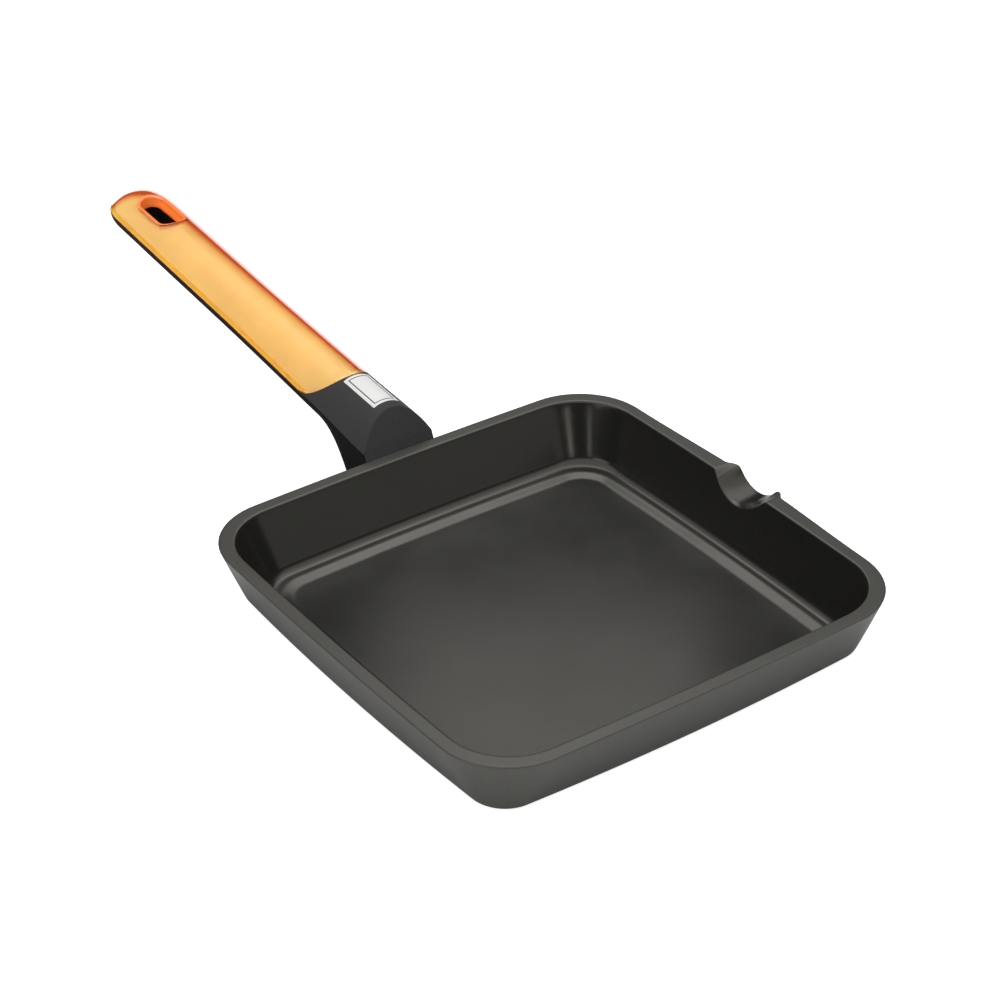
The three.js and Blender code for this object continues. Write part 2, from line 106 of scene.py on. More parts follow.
class PanSettings(bpy.types.PropertyGroup):
    """Sizes and colours of the casting."""

    height: length("Height", "From the resting face to the rim", 29.5)
    side_bow: length("Rim bow", "How far the middle of a side stands out, at the rim", 1.9)
    base_bow: length("Base bow", "How far the middle of a side stands out, at the base", 3.5)
    rim_corner: length("Rim corner", "Corner radius of the rim, outside", 32.5)
    rim_land: length("Rim width", "Width of the rim, and thickness of the wall", 6.5)
    rim_edge: length("Rim edge", "Rounding of the outer edge of the rim", 0.5)
    inner_edge: length("Inner edge", "Rounding of the inner edge of the rim", 1.3)
    inner_corner: length("Inner corner", "Corner radius of the rim, inside", 28.5)
    wall_lean: angle("Wall lean", "Outward lean of the walls from upright", 20.8)
    base_corner: length("Base corner", "Corner radius where the wall meets the base", 15)
    base_fillet: length("Base rounding", "Rounding between the outer wall and the base", 4)
    floor_thickness: length("Floor thickness", "Thickness of the cooking floor", 2.6)
    floor_corner: length("Floor corner", "Corner radius of the cooking floor", 13)
    step_rise: length("Step rise", "Height of the step round the floor", 1.15)
    step_run: length("Step run", "Width of the step's slope", 4.2)
    step_edge: length("Step edge", "Rounding of both edges of the step", 9)
    wall_fillet: length("Wall rounding", "Hollow rounding at the foot of the inner wall", 5)
    ledge: length("Ledge", "Flat between that rounding and the step", 2.1)
    floor_shift: length("Floor shift", "How far the floor lies off the middle, away from the handle", 3.5)
    coat: colour("Coat", "Colour of the non-stick coat inside", 0.0178, 0.0174, 0.0156)
    coat_roughness: factor("Coat roughness", "Middle roughness of that coat", 0.2)
    paint: colour("Paint", "Colour of the rim", 0.063, 0.0625, 0.0573)
    # The rim's paint made lighter, as painted light from the floor on the outer wall and the underside
    outside: colour("Outside", "Colour of the outer wall and the underside", 0.092, 0.0913, 0.084)
    paint_roughness: factor("Paint roughness", "Middle roughness of the rim and the outside", 0.34)


class SpoutSettings(bpy.types.PropertyGroup):
    """Sizes of the pouring spout."""

    shift: length("Shift", "From the middle of the wall, away from the handle", 1.8)
    depth: length("Depth", "Depth of the trough at the inner edge of the rim", 8.7)
    lip_depth: length("Lip depth", "Depth of the trough at the lip", 7.2)
    inner_radius: length("Inner radius", "Radius of the trough at the inner edge of the rim", 20)
    outer_radius: length("Outer radius", "Radius of the trough at the lip", 14)
    ear_rounding: length("Ear rounding", "Rounding between the rim and the trough", 2.2)
    swell: length("Swell", "How far the wall swells out towards the spout", 2)
    swell_width: length("Swell width", "Length of rim that swells out", 150)
    lip_reach: length("Lip reach", "How much further the lip stands out", 2.9)
    lip_width: length("Lip width", "Length of rim that the lip takes", 38)
    lip_flare: length("Lip flare", "Length of rim over which the lip comes out", 5)
    lip_height: length("Lip height", "From the rim to where the lip has run out", 20)


class HandleSettings(bpy.types.PropertyGroup):
    """Sizes and colours of the moulded handle."""

    reach: length("Length", "From the rim to the tip", 241)
    end: length("Rounded end", "Length of the rounded end, seen from above", 17)
    crown_end: length("Crown end", "Length over which the crown falls off to the tip", 30)
    crown_rise: length("Crown rise", "Crown above the rim, where the neck meets it", 18.2)
    crown_slope: angle("Crown slope", "Rise of the crown line", 5.1)
    ridge_rise: length("Ridge rise", "Side ridge above the rim, where the neck meets it", 2.9)
    ridge_slope: angle("Ridge slope", "Rise of the side ridges", 6.4)
    ridge_rounding: length("Ridge rounding", "Softness of the side ridges", 0.6)
    neck_half: length("Neck half width", "Half width over the ridges at the neck", 17.3)
    waist_half: length("Waist half width", "Half width over the ridges at the waist", 16.3)
    grip_half: length("Grip half width", "Half width over the ridges at the end of the grip", 16.5)
    dome_power: factor("Dome curve", "Power of the curve from the crown to the ridges", 2.15, 4.0)
    neck_keel: length("Neck keel", "Depth below the ridges, at the rim", 25)
    grip_keel: length("Grip keel", "Depth below the ridges, along the grip", 9)
    keel_power: factor("Keel fullness", "Fullness of the rounded underside, where 1 is a half oval", 0.8)
    neck_power: factor("Neck fullness", "The same at the rim, where the sides stand upright", 0.2)
    neck_length: length("Neck length", "Where the neck has run out into the grip", 42)
    ridge_flare: length("Ridge flare", "How far the ridges part at the pan", 1.2)
    keel_flare: length("Keel flare", "How much further the neck widens below them", 6)
    facet_lean: angle("Facet lean", "Lean of the neck's end facet from upright", 19.2)
    facet_edge: length("Facet edge", "Rounding round the end facet", 0.45)
    slot_from_tip: length("Slot place", "From the tip to the middle of the hanging slot", 33)
    slot_length: length("Slot length", "Length of the hanging slot", 25)
    slot_width: length("Slot width", "Width of the hanging slot", 8.8)
    # One black moulding: its top is painted lighter as painted light, its sides and underside darker as
    # painted shade
    satin: colour("Lit_top", "Colour of the top of the moulding", 0.068, 0.065, 0.067)
    shaded_sides: colour("Shaded_sides", "Colour of its sides and underside", 0.0105, 0.0103, 0.01)


class PlateSettings(bpy.types.PropertyGroup):
    """Sizes and colours of the plain plate on the neck."""

    start: length("Start", "From the rim to the plate", 11.5)
    reach: length("Length", "Along the handle", 24.5)
    width: length("Width", "Across the handle", 13.4)
    shift: length("Shift", "From the middle of the handle to the spout's side", 0.9)
    thickness: length("Thickness", "Above the moulding", 0.15)
    margin: length("Margin", "From its edge to the frame line", 1.5)
    line: length("Line", "Width of the frame line", 0.5)
    white: colour("White", "Colour of the plate", 0.94, 0.94, 0.92)
    ink: colour("Ink", "Colour of the frame line", 0.018, 0.017, 0.016)


class LugSettings(bpy.types.PropertyGroup):
    """Sizes of the cast lug inside the neck, and of the holes for its screw."""

    reach: length("Length", "Beyond the rim", 36)
    width: length("Width", "Across the handle", 20)
    thickness: length("Thickness", "Upright", 7.6)
    drop: length("Drop", "Of its top below the rim, where it leaves the wall", 1.2)
    slope: angle("Slope", "Rise along the handle", 15.5)
    gap: length("Gap", "Clearance to the socket and the holes", 0.3)
    insert_hole: length("Insert hole", "Radius of the hole for the threaded insert", 4.0)
    bore: length("Bore", "Radius of the screw's hole in the handle", 2.8)
    counterbore: length("Counterbore", "Radius of the hole for the screw's head and washer", 4.9)


class InlaySettings(bpy.types.PropertyGroup):
    """Sizes and colours of the gel inlay."""

    start: length("Start", "From the rim to the inlay", 37.2)
    corner_length: length("Corner length", "Rounding of its corners at the neck, along the handle", 24)
    corner_width: length("Corner width", "Rounding of its corners at the neck, across the handle", 17.3)
    thickness: length("Thickness", "Thickness of the gel", 3.4)
    edge: length("Edge", "Rounding of its outer edges", 0.35)
    slot_flare: length("Slot flare", "How far the slot opens out through the gel", 1.6)
    slot_depth: length("Slot depth", "How deep the gel lines the slot", 4.8)
    slot_lip: length("Slot edge", "Rounding of the edge of the slot", 1.9)
    slot_lean: length("Slot lean", "How much nearer to the tip the slot lies below its opening", 1)
    lining: length("Lining", "Thickness of the gel that lines the slot", 0.8)
    gap: length("Gap", "Clearance between the inlay and its seat", 0.3)
    gel: colour("Gel", "Colour that the gel lets through", 1.0, 0.72, 0.03)
    gel_edge: colour("Gel edge", "The same where it is seen edge on", 0.6, 0.032, 0.009)
    backing: colour("Backing", "Colour of the pale layer under the gel", 0.97, 0.95, 0.82)
    deep: colour("Deep gel", "Colour of the gel that lines the slot", 0.8, 0.17, 0.03)
    seat: colour("Seat", "Colour of the layer under the lower edge", 0.92, 0.76, 0.18)


class SteelSettings(bpy.types.PropertyGroup):
    """Colours of the steel pieces."""

    plate: colour("Plate", "Colour of the induction plate", 0.55, 0.55, 0.54)
    screw: colour("Screw", "Colour of the screw", 0.6, 0.6, 0.59)
    washer: colour("Washer", "Colour of the screw's washer", 0.5, 0.5, 0.49)
    insert: colour("Insert", "Colour of the threaded insert", 0.5, 0.49, 0.45)


class StudioSettings(bpy.types.PropertyGroup):
    """Camera and light of the studio."""

    lens: FloatProperty(name="Lens", description="Focal length of the camera", default=95.41, unit="CAMERA")
    floor: colour("Floor", "Colour of the floor", 0.8, 0.8, 0.8)
    glow: factor("Floor glow", "Light that the floor itself gives off", 0.85)
    sky: factor("Soft light", "Strength of the soft light from above", 2.4, 10.0)
    gel_power: power("Gel light", "Power of the light overhead that falls on the gel alone", 19)
    box_power: power("Soft box", "Power of the light behind", 0.27)
    side_power: power("Side panel", "Power of the low panel", 1.45)
    fill_power: power("Fill light", "Power of the light at the side", 2.8)
    strip_power: power("Strip light", "Power of the tall lights in front", 1.6)


# Small numeric tools

def smooth(value, low, high):
    """Soft step from 0 at low to 1 at high."""
    t = np.clip((value - low) / (high - low), 0, 1)
    return t * t * (3 - 2 * t)


def soft_min(a, b, rounding):
    """The lower of two heights, with the crease between them rounded off."""
    near = np.clip(1 - np.abs(a - b) / rounding, 0, 1)
    return np.minimum(a, b) - near**2 * rounding / 4


def mix(a, b, t):
    return a + (b - a) * t


def between(a, b, count):
    """Rows of points evenly spaced between two rows, without their ends."""
    t = np.linspace(0, 1, count + 2)[1:-1]
    return np.stack([mix(a, b, step) for step in t])


def unit(vectors):
    return vectors / np.maximum(np.linalg.norm(vectors, axis=-1, keepdims=True), 1e-12)


def turned_corner(before, corner, after, radius, steps):
    """Rows of points on the arc of that radius that rounds a corner off."""
    back, on = unit(before - corner), unit(after - corner)
    half = np.arccos(np.clip((back * on).sum(-1, keepdims=True), -1, 1)) / 2
    reach, weight = radius / np.tan(half), np.sin(half)
    start, end = corner + back * reach, corner + on * reach
    rows = []
    for t in np.linspace(0, 1, steps + 1):
        a, b, c = (1 - t) ** 2, 2 * t * (1 - t) * weight, t**2
        rows.append((a * start + b * corner + c * end) / (a + b + c))
    return np.stack(rows)


# Meshes

def grid_faces(rows, columns, first=0):
    """Quads between closed rings, that face out where the rings run anticlockwise seen from the last one."""
    faces = []
    for r in range(rows - 1):
        low, high = first + r * columns, first + (r + 1) * columns
        for c in range(columns):
            d = (c + 1) % columns
            faces.append((low + c, low + d, high + d, high + c))
    return faces


def mesh_piece(name, points, faces, sharp=40, materials=(), finishes=None):
    """A smooth-shaded object of points and faces, with its hard edges marked and a finish for each face."""
    mesh = bpy.data.meshes.new(name)
    mesh.from_pydata([tuple(p) for p in points], [], faces)
    for material in materials:
        mesh.materials.append(material)
    if finishes is not None:
        mesh.polygons.foreach_set("material_index", finishes)
    return closed_piece(name, mesh, sharp)


def closed_piece(name, mesh, sharp=40):
    """An object of that mesh, welded into a closed skin whose faces look outwards."""
    made = bmesh.new()
    made.from_mesh(mesh)
    bmesh.ops.remove_doubles(made, verts=made.verts, dist=1e-6)
    bmesh.ops.dissolve_degenerate(made, edges=made.edges, dist=1e-7)
    bmesh.ops.recalc_face_normals(made, faces=made.faces)
    if made.calc_volume(signed=True) < 0:
        bmesh.ops.reverse_faces(made, faces=made.faces)
    open_edges = [edge for edge in made.edges if not edge.is_manifold]
    made.to_mesh(mesh)
    made.free()
    if open_edges:
        raise RuntimeError(f"{name} has {len(open_edges)} open edges")
    piece = bpy.data.objects.new(name, mesh)
    bpy.context.scene.collection.objects.link(piece)
    shade(piece, sharp)
    return piece


def shade(piece, sharp=40):
    piece.data.shade_smooth()
    piece.data.set_sharp_from_angle(angle=math.radians(sharp))


def ring_solid(rings):
    """Points and faces of a solid lofted through closed rings, closed at both ends."""
    rings = np.asarray(rings)
    rows, columns = rings.shape[:2]
    faces = grid_faces(rows, columns)
    faces.append(tuple(reversed(range(columns))))
    faces.append(tuple(range((rows - 1) * columns, rows * columns)))
    return rings.reshape(-1, 3), faces


def block(outline, width):
    """Points and faces of a solid with one outline in side view, centred on the plane y = 0."""
    return ring_solid([[(x, y, z) for x, z in outline] for y in (-width / 2, width / 2)])


def cylinder(radius, low, high, x=0.0, y=0.0, sides=48):
    return ring_solid([circle(radius, z, x, y, sides) for z in (low, high)])


def circle(radius, z, x=0.0, y=0.0, sides=48):
    turn = np.linspace(0, 2 * np.pi, sides, endpoint=False)
    return np.stack([x + radius * np.cos(turn), y + radius * np.sin(turn), np.full(sides, z)], -1)


def combine(piece, tools, operation, sharp=40, finish=0):
    """Cuts tools out of a piece, or joins them to it, in one of its finishes, and deletes them."""
    for tool in tools:
        for material in piece.data.materials:
            tool.data.materials.append(material)
        tool.data.polygons.foreach_set("material_index", [finish] * len(tool.data.polygons))
        change = piece.modifiers.new("change", "BOOLEAN")
        change.operation = operation
        change.solver = "MANIFOLD"
        change.object = tool
    bpy.context.view_layer.update()
    evaluated = piece.evaluated_get(bpy.context.evaluated_depsgraph_get())
    mesh = bpy.data.meshes.new_from_object(evaluated)
    piece.modifiers.clear()
    piece.data = mesh
    for tool in tools:
        bpy.data.objects.remove(tool)
    shade(piece, sharp)


# Node tools

def node(tree, kind, inputs=None, **values):
    """A new node with its settings and the defaults of its inputs."""
    made = tree.nodes.new(kind)
    for name, value in values.items():
        setattr(made, name, value)
    for name, value in (inputs or {}).items():
        made.inputs[name].default_value = value
    return made


def chain(tree, *links):
    for source, target in links:
        tree.links.new(source, target)


def new_group(name, inputs, outputs):
    """An empty shader node group: its tree, and its inner input and output nodes."""
    tree = bpy.data.node_groups.new(name, "ShaderNodeTree")
    for socket, kind, default in inputs:
        tree.interface.new_socket(socket, in_out="INPUT", socket_type=kind).default_value = default
    for socket, kind in outputs:
        tree.interface.new_socket(socket, in_out="OUTPUT", socket_type=kind)
    return tree, tree.nodes.new("NodeGroupInput"), tree.nodes.new("NodeGroupOutput")


def grain_group():
    """Fine speckle of a sprayed or moulded surface: a mask of light dots, soft mottling and a height."""
    found = bpy.data.node_groups.get("Fine grain")
    if found:
        return found
    tree, given, out = new_group(
        "Fine grain",
        [("Grain", "NodeSocketFloat", 1800.0), ("Mottle", "NodeSocketFloat", 30.0)],
        [("Dots", "NodeSocketFloat"), ("Mottling", "NodeSocketFloat"), ("Height", "NodeSocketFloat")],
    )
    where = node(tree, "ShaderNodeTexCoord")
    fine = node(tree, "ShaderNodeTexNoise", {"Detail": 2.0, "Roughness": 0.6})
    broad = node(tree, "ShaderNodeTexNoise", {"Detail": 3.0, "Roughness": 0.55})
    dots = node(tree, "ShaderNodeMapRange", {"From Min": 0.56, "From Max": 0.76})
    chain(
        tree,
        (where.outputs["Object"], fine.inputs["Vector"]),
        (where.outputs["Object"], broad.inputs["Vector"]),
        (given.outputs["Grain"], fine.inputs["Scale"]),
        (given.outputs["Mottle"], broad.inputs["Scale"]),
        (fine.outputs["Fac"], dots.inputs["Value"]),
        (dots.outputs["Result"], out.inputs["Dots"]),
        (broad.outputs["Fac"], out.inputs["Mottling"]),
        (fine.outputs["Fac"], out.inputs["Height"]),
    )
    return tree


def spread_group():
    """A value that runs from low to high as its mask goes from 0 to 1."""
    found = bpy.data.node_groups.get("Spread")
    if found:
        return found
    tree, given, out = new_group(
        "Spread",
        [
            ("Mask", "NodeSocketFloat", 0.5),
            ("Low", "NodeSocketFloat", 0.0),
            ("High", "NodeSocketFloat", 1.0),
        ],
        [("Value", "NodeSocketFloat")],
    )
    run = node(tree, "ShaderNodeMapRange", {"From Min": 0.25, "From Max": 0.75})
    chain(
        tree,
        (given.outputs["Mask"], run.inputs["Value"]),
        (given.outputs["Low"], run.inputs["To Min"]),
        (given.outputs["High"], run.inputs["To Max"]),
        (run.outputs["Result"], out.inputs["Value"]),
    )
    return tree


def new_material(name):
    """A plain material, with its node tree, its Principled shader and its output."""
    material = bpy.data.materials.new(name)
    material.use_nodes = True
    tree = material.node_tree
    return material, tree, tree.nodes["Principled BSDF"], tree.nodes["Material Output"]


def set_sockets(shader, **values):
    for name, value in values.items():
        shader.inputs[name.replace("_", " ")].default_value = value


def grained_material(name, rgb, grain, mottle, dots, roughness, bump):
    """An opaque finish with speckle, mottling, uneven gloss and a fine relief."""
    material, tree, shader, _ = new_material(name)
    group = node(tree, "ShaderNodeGroup", node_tree=grain_group())
    set_sockets(group, Grain=grain, Mottle=mottle)
    tint = node(tree, "ShaderNodeMix", data_type="RGBA")
    tint.inputs["A"].default_value = (*[c * 0.9 for c in rgb], 1)
    tint.inputs["B"].default_value = (*[c * 1.1 for c in rgb], 1)
    speck = node(tree, "ShaderNodeMix", data_type="RGBA")
    speck.inputs["B"].default_value = (*[min(c * dots, 1) for c in rgb], 1)
    gloss = node(tree, "ShaderNodeGroup", node_tree=spread_group())
    set_sockets(gloss, Low=roughness - 0.05, High=roughness + 0.05)
    relief = node(tree, "ShaderNodeBump", {"Strength": bump, "Distance": 0.05 * MM})
    chain(
        tree,
        (group.outputs["Mottling"], tint.inputs["Factor"]),
        (tint.outputs["Result"], speck.inputs["A"]),
        (group.outputs["Dots"], speck.inputs["Factor"]),
        (speck.outputs["Result"], shader.inputs["Base Color"]),
        (group.outputs["Mottling"], gloss.inputs["Mask"]),
        (gloss.outputs["Value"], shader.inputs["Roughness"]),
        (group.outputs["Height"], relief.inputs["Height"]),
        (relief.outputs["Normal"], shader.inputs["Normal"]),
    )
    return material, shader


def steel_material(name, rgb, roughness, stretch):
    """Steel with brushed lines that run along X."""
    material, tree, shader, _ = new_material(name)
    where = node(tree, "ShaderNodeTexCoord")
    squeeze = node(tree, "ShaderNodeMapping")
    squeeze.inputs["Scale"].default_value = (60, 60 * stretch, 60 * stretch)
    lines = node(tree, "ShaderNodeTexNoise", {"Scale": 40.0, "Detail": 4.0})
    gloss = node(tree, "ShaderNodeGroup", node_tree=spread_group())
    set_sockets(gloss, Low=roughness - 0.08, High=roughness + 0.1)
    tint = node(tree, "ShaderNodeMix", data_type="RGBA")
    tint.inputs["A"].default_value = (*[c * 0.86 for c in rgb], 1)
    tint.inputs["B"].default_value = (*rgb, 1)
    relief = node(tree, "ShaderNodeBump", {"Strength": 0.15, "Distance": 0.02 * MM})
    chain(
        tree,
        (where.outputs["Object"], squeeze.inputs["Vector"]),
        (squeeze.outputs["Vector"], lines.inputs["Vector"]),
        (lines.outputs["Fac"], gloss.inputs["Mask"]),
        (gloss.outputs["Value"], shader.inputs["Roughness"]),
        (lines.outputs["Fac"], tint.inputs["Factor"]),
        (tint.outputs["Result"], shader.inputs["Base Color"]),
        (lines.outputs["Fac"], relief.inputs["Height"]),
        (relief.outputs["Normal"], shader.inputs["Normal"]),
    )
    set_sockets(shader, Metallic=1.0)
    return material


# Cast pan

SIDE_STEPS, CORNER_STEPS, SPOUT_STEPS = 18, 16, 76  # places along a side, round a corner and along the lip
BASE_STEPS, EDGE_STEPS, FILLET_STEPS, STEP_STEPS = 8, 5, 14, 6  # steps of the roundings
OUTER_ROWS, LAND_ROWS, INNER_ROWS, LEDGE_ROWS = 16, 6, 8, 3  # rows of the straight stretches between them
EDGE_ROW = BASE_STEPS + 1 + OUTER_ROWS  # first row of the rim's outer rounding
LAND_ROW = EDGE_ROW + EDGE_STEPS + 1  # first row of the rim's flat
INNER_ROW = LAND_ROW + LAND_ROWS  # first row of the rim's inner rounding
FLOOR_SHARES = (0.97, 0.8, 0.6, 0.4, 0.2)  # rings of the floor, from its edge to its middle
COAT, RIM_PAINT, OUTER_LIT_PAINT = 0, 1, 2  # finishes of the casting; the outer one is the rim's paint made lighter as painted light
PAN_SHARP = 50  # degrees, beyond which an edge of the casting is hard
RECESS_GAP = 0.3 * MM  # round the induction plate
RECESS_EDGE = 0.2 * MM  # chamfer of the recess


def pan_columns(spout):
    """Places round the outline, one row each: side, share of the side's turn, share and offset of a fixed
    place along the spout's wall, and share of the corner's turn, or -1 on a side."""
    start, end = -spout.shift - spout.lip_width / 2, -spout.shift + spout.lip_width / 2
    columns = []
    for side in range(4):
        if side == 3:
            run = np.linspace(0, 1, SIDE_STEPS // 2, endpoint=False)
            columns += [(side, t - 1, t, start, -1) for t in run]
            columns += [(side, 0, 1, x, -1) for x in np.linspace(start, end, SPOUT_STEPS, endpoint=False)]
            columns += [(side, t, 1 - t, end, -1) for t in run]
        else:
            columns += [(side, f, 0, 0, -1) for f in np.linspace(-1, 1, SIDE_STEPS, endpoint=False)]
        columns += [(side, 0, 0, 0, t) for t in np.linspace(0, 1, CORNER_STEPS, endpoint=False)]
    return np.array(columns).T


def bowed_square(half, corner, bow, columns):
    """Points on squares with bowed sides and round corners, one row of points for each row of sizes."""
    side, share, fixed, offset, bend = columns
    side_radius = half**2 / (2 * bow) + bow / 2
    back = side_radius - half
    centre = (np.sqrt(2 * (side_radius - corner) ** 2 - back**2) - back) / 2
    turn = np.arctan2(centre, centre + back)
    along = share * turn + fixed * np.arcsin(offset / side_radius)
    arc = turn + bend * (np.pi / 2 - 2 * turn)
    on_side = bend < 0
    x = np.where(on_side, side_radius * np.cos(along) - back, centre + corner * np.cos(arc))
    y = np.where(on_side, side_radius * np.sin(along), centre + corner * np.sin(arc))
    a = side * np.pi / 2
    return x * np.cos(a) - y * np.sin(a), x * np.sin(a) + y * np.cos(a)


def lip_reach(x, z, pan, spout):
    """How far the spout's wall stands out: a broad swell, and the lip, which goes straight down past the
    trough, narrows and runs out into the leaning wall."""
    off = np.abs(x + spout.shift)
    drop = np.clip(pan.height - z, 0, spout.lip_height)
    half = spout.lip_width / 2 * (1 - 0.5 * (drop / spout.lip_height) ** 2)
    run_out = 1 - smooth(drop, spout.lip_depth, spout.lip_height)
    swell = spout.swell * np.cos(np.minimum(off / spout.swell_width, 0.5) * np.pi) ** 2
    lip = spout.lip_reach + drop * math.tan(pan.wall_lean)
    lip_share = smooth(half - off, 0, spout.lip_flare + drop / 2)
    return (swell + lip * lip_share) * run_out


def rim_height(x, out, pan, spout):
    """Height of the rim at a place on the spout's wall. Out runs from 0 at its inner edge to 1 at the lip."""
    radius = mix(spout.inner_radius, spout.outer_radius, out)
    depth = mix(spout.depth, spout.lip_depth, out)
    off = np.minimum(np.abs(x + spout.shift), radius)
    trough = pan.height - depth + radius - np.sqrt(radius**2 - off**2)
    return soft_min(np.full_like(x, pan.height), trough, spout.ear_rounding)


def pan_profiles(pan, spout, columns):
    """Half width and height of each row for every column, from the base up the outside, over the rim and down
    to the floor, with each row's share of the lip's reach, and the half width of the floor."""
    lean = math.tan(pan.wall_lean)
    count = columns.shape[1]
    on_lip = columns[2] > 0.999
    spout_x = np.where(on_lip, columns[3], PAN_WIDTH)
    step_z = pan.floor_thickness + pan.step_rise

    def at(half, z):
        return np.stack(np.broadcast_arrays(half, z, np.zeros(count))[:2], -1)

    def outer(z):
        return RIM_X - (pan.height - z) * lean

    outer_z, inner_z = (rim_height(spout_x, out, pan, spout) for out in (1.0, 0.0))
    fillet_reach = pan.wall_fillet * math.tan((math.pi / 2 - pan.wall_lean) / 2)
    foot = outer(step_z) - pan.rim_land
    floor_half = foot - fillet_reach - pan.ledge - pan.step_run
    base, top = at(outer(0), 0), at(outer(outer_z), outer_z)
    inner_top, wall_foot = at(outer(inner_z) - pan.rim_land, inner_z), at(foot, step_z)
    step_top, step_foot = at(floor_half + pan.step_run, step_z), at(floor_half, pan.floor_thickness)
    middle = at(0, pan.floor_thickness)

    base_arc = turned_corner(at(0, 0), base, top, pan.base_fillet, BASE_STEPS)
    top_arc = turned_corner(base, top, inner_top, pan.rim_edge, EDGE_STEPS)
    inner_arc = turned_corner(top, inner_top, wall_foot, pan.inner_edge, EDGE_STEPS)
    fillet = turned_corner(inner_top, wall_foot, step_top, pan.wall_fillet, FILLET_STEPS)
    step_arc = turned_corner(wall_foot, step_top, step_foot, pan.step_edge, STEP_STEPS)
    foot_arc = turned_corner(step_top, step_foot, middle, pan.step_edge, STEP_STEPS)
    outside = [base_arc, between(base_arc[-1], top_arc[0], OUTER_ROWS), top_arc]
    land = between(top_arc[-1], inner_arc[0], LAND_ROWS)
    inside = [
        inner_arc,
        between(inner_arc[-1], fillet[0], INNER_ROWS),
        fillet,
        between(fillet[-1], step_arc[0], LEDGE_ROWS),
        step_arc,
        between(step_arc[-1], foot_arc[0], 1),
        foot_arc,
    ]
    rows = np.concatenate([*outside, land, *inside])
    lip_share = np.zeros((len(rows), 1))
    lip_share[:LAND_ROW] = 1
    lip_share[LAND_ROW:INNER_ROW, 0] = np.linspace(1, 0, LAND_ROWS + 2)[1:-1]
    return rows[..., 0], rows[..., 1], lip_share, floor_half


def pan_shell(pan, spout):
    """Rows of points of the casting, from the base up the outside and over the rim to the floor's edge."""
    columns = pan_columns(spout)
    half, z, lip_share, floor_half = pan_profiles(pan, spout, columns)
    up = z / pan.height
    out = (half - floor_half) / (RIM_X - pan.rim_land - floor_half)
    outer_corner = mix(pan.base_corner, pan.rim_corner, up)
    inner_corner = mix(pan.floor_corner, pan.inner_corner, out)
    corner = mix(inner_corner, outer_corner, lip_share)
    bow = mix(pan.side_bow, mix(pan.base_bow, pan.side_bow, up), lip_share)
    x, y = bowed_square(half, corner, bow, columns)
    by_spout = (columns[0] == 3) & (y < -RIM_X / 2)
    y = np.where(by_spout, y - lip_share * lip_reach(x, z, pan, spout), y)
    down = np.clip((pan.height - z) / (pan.height - pan.floor_thickness), 0, 1)
    x = x - pan.floor_shift * np.where(lip_share > 0, 0, down)
    return np.stack([x, y, z], -1)


def plate_recess(around):
    """Rings of the recess for the induction plate, from near its middle out to the base, at those angles."""
    radius = PLATE_RADIUS + RECESS_GAP
    rows = [
        (radius / 2, PLATE_THICKNESS),
        (radius, PLATE_THICKNESS),
        (radius, RECESS_EDGE),
        (radius + RECESS_EDGE, 0),
    ]
    return [np.stack([r * np.cos(around), r * np.sin(around), np.full_like(around, z)], -1) for r, z in rows]


def pan_finish(row, in_trough):
    """Finish of a face of the casting, by its row above the base and by whether it lies in the trough."""
    # Below the rim's outer rounding: the lighter paint that stands for painted light
    if row <= EDGE_ROW:
        return OUTER_LIT_PAINT
    painted = EDGE_ROW if in_trough else INNER_ROW
    return RIM_PAINT if row <= painted + 1 else COAT


def lug_outline(pan, lug, grow=0.0):
    """Side view of the cast lug that carries the handle, grown all round for its socket."""
    def top(x):
        return pan.height - lug.drop + (x - RIM_X) * math.tan(lug.slope)

    root, end = RIM_X - pan.rim_land, RIM_X + lug.reach + grow
    low = lug.thickness + grow
    under = [(x, top(x) - low) for x in (root, end)]
    over = [(x, top(x) + grow) for x in (end, root)]
    return under + over


def build_pan_body(pan, spout, lug, materials):
    shell = pan_shell(pan, spout)
    middle = np.array((-pan.floor_shift, 0, pan.floor_thickness))
    floor = [mix(middle, shell[-1], share) for share in FLOOR_SHARES]
    recess = plate_recess(np.arctan2(shell[0, :, 1], shell[0, :, 0]))
    rings = np.concatenate([recess, shell, floor])
    points = np.concatenate([rings.reshape(-1, 3), [[0, 0, PLATE_THICKNESS], middle]])
    rows, count = rings.shape[:2]
    faces = grid_faces(rows, count)
    trough = shell[INNER_ROW - 2, :, 2] < pan.height - spout.ear_rounding
    finishes = [pan_finish(i // count - len(recess), trough[i % count]) for i in range(len(faces))]
    recess_middle, floor_middle = rows * count, rows * count + 1
    last = (rows - 1) * count
    for c in range(count):
        d = (c + 1) % count
        faces += [(recess_middle, d, c), (floor_middle, last + c, last + d)]
        finishes += [OUTER_LIT_PAINT, COAT]
    piece = mesh_piece("cast_pan", points, faces, PAN_SHARP, materials, finishes)
    added = [mesh_piece("lug", *block(lug_outline(pan, lug), lug.width))]
    for x, y in PLATE_HOLES:
        added.append(mesh_piece("pip", *cylinder(PIP_RADIUS, 0, 1.5 * PLATE_THICKNESS, x, y, HOLE_SIDES)))
    combine(piece, added, "UNION", PAN_SHARP)
    hole = cylinder(lug.insert_hole, 0, INSERT_TOP + lug.gap, SCREW_X)
    combine(piece, [mesh_piece("insert_hole", *hole)], "DIFFERENCE", PAN_SHARP)
    return piece


# Handle

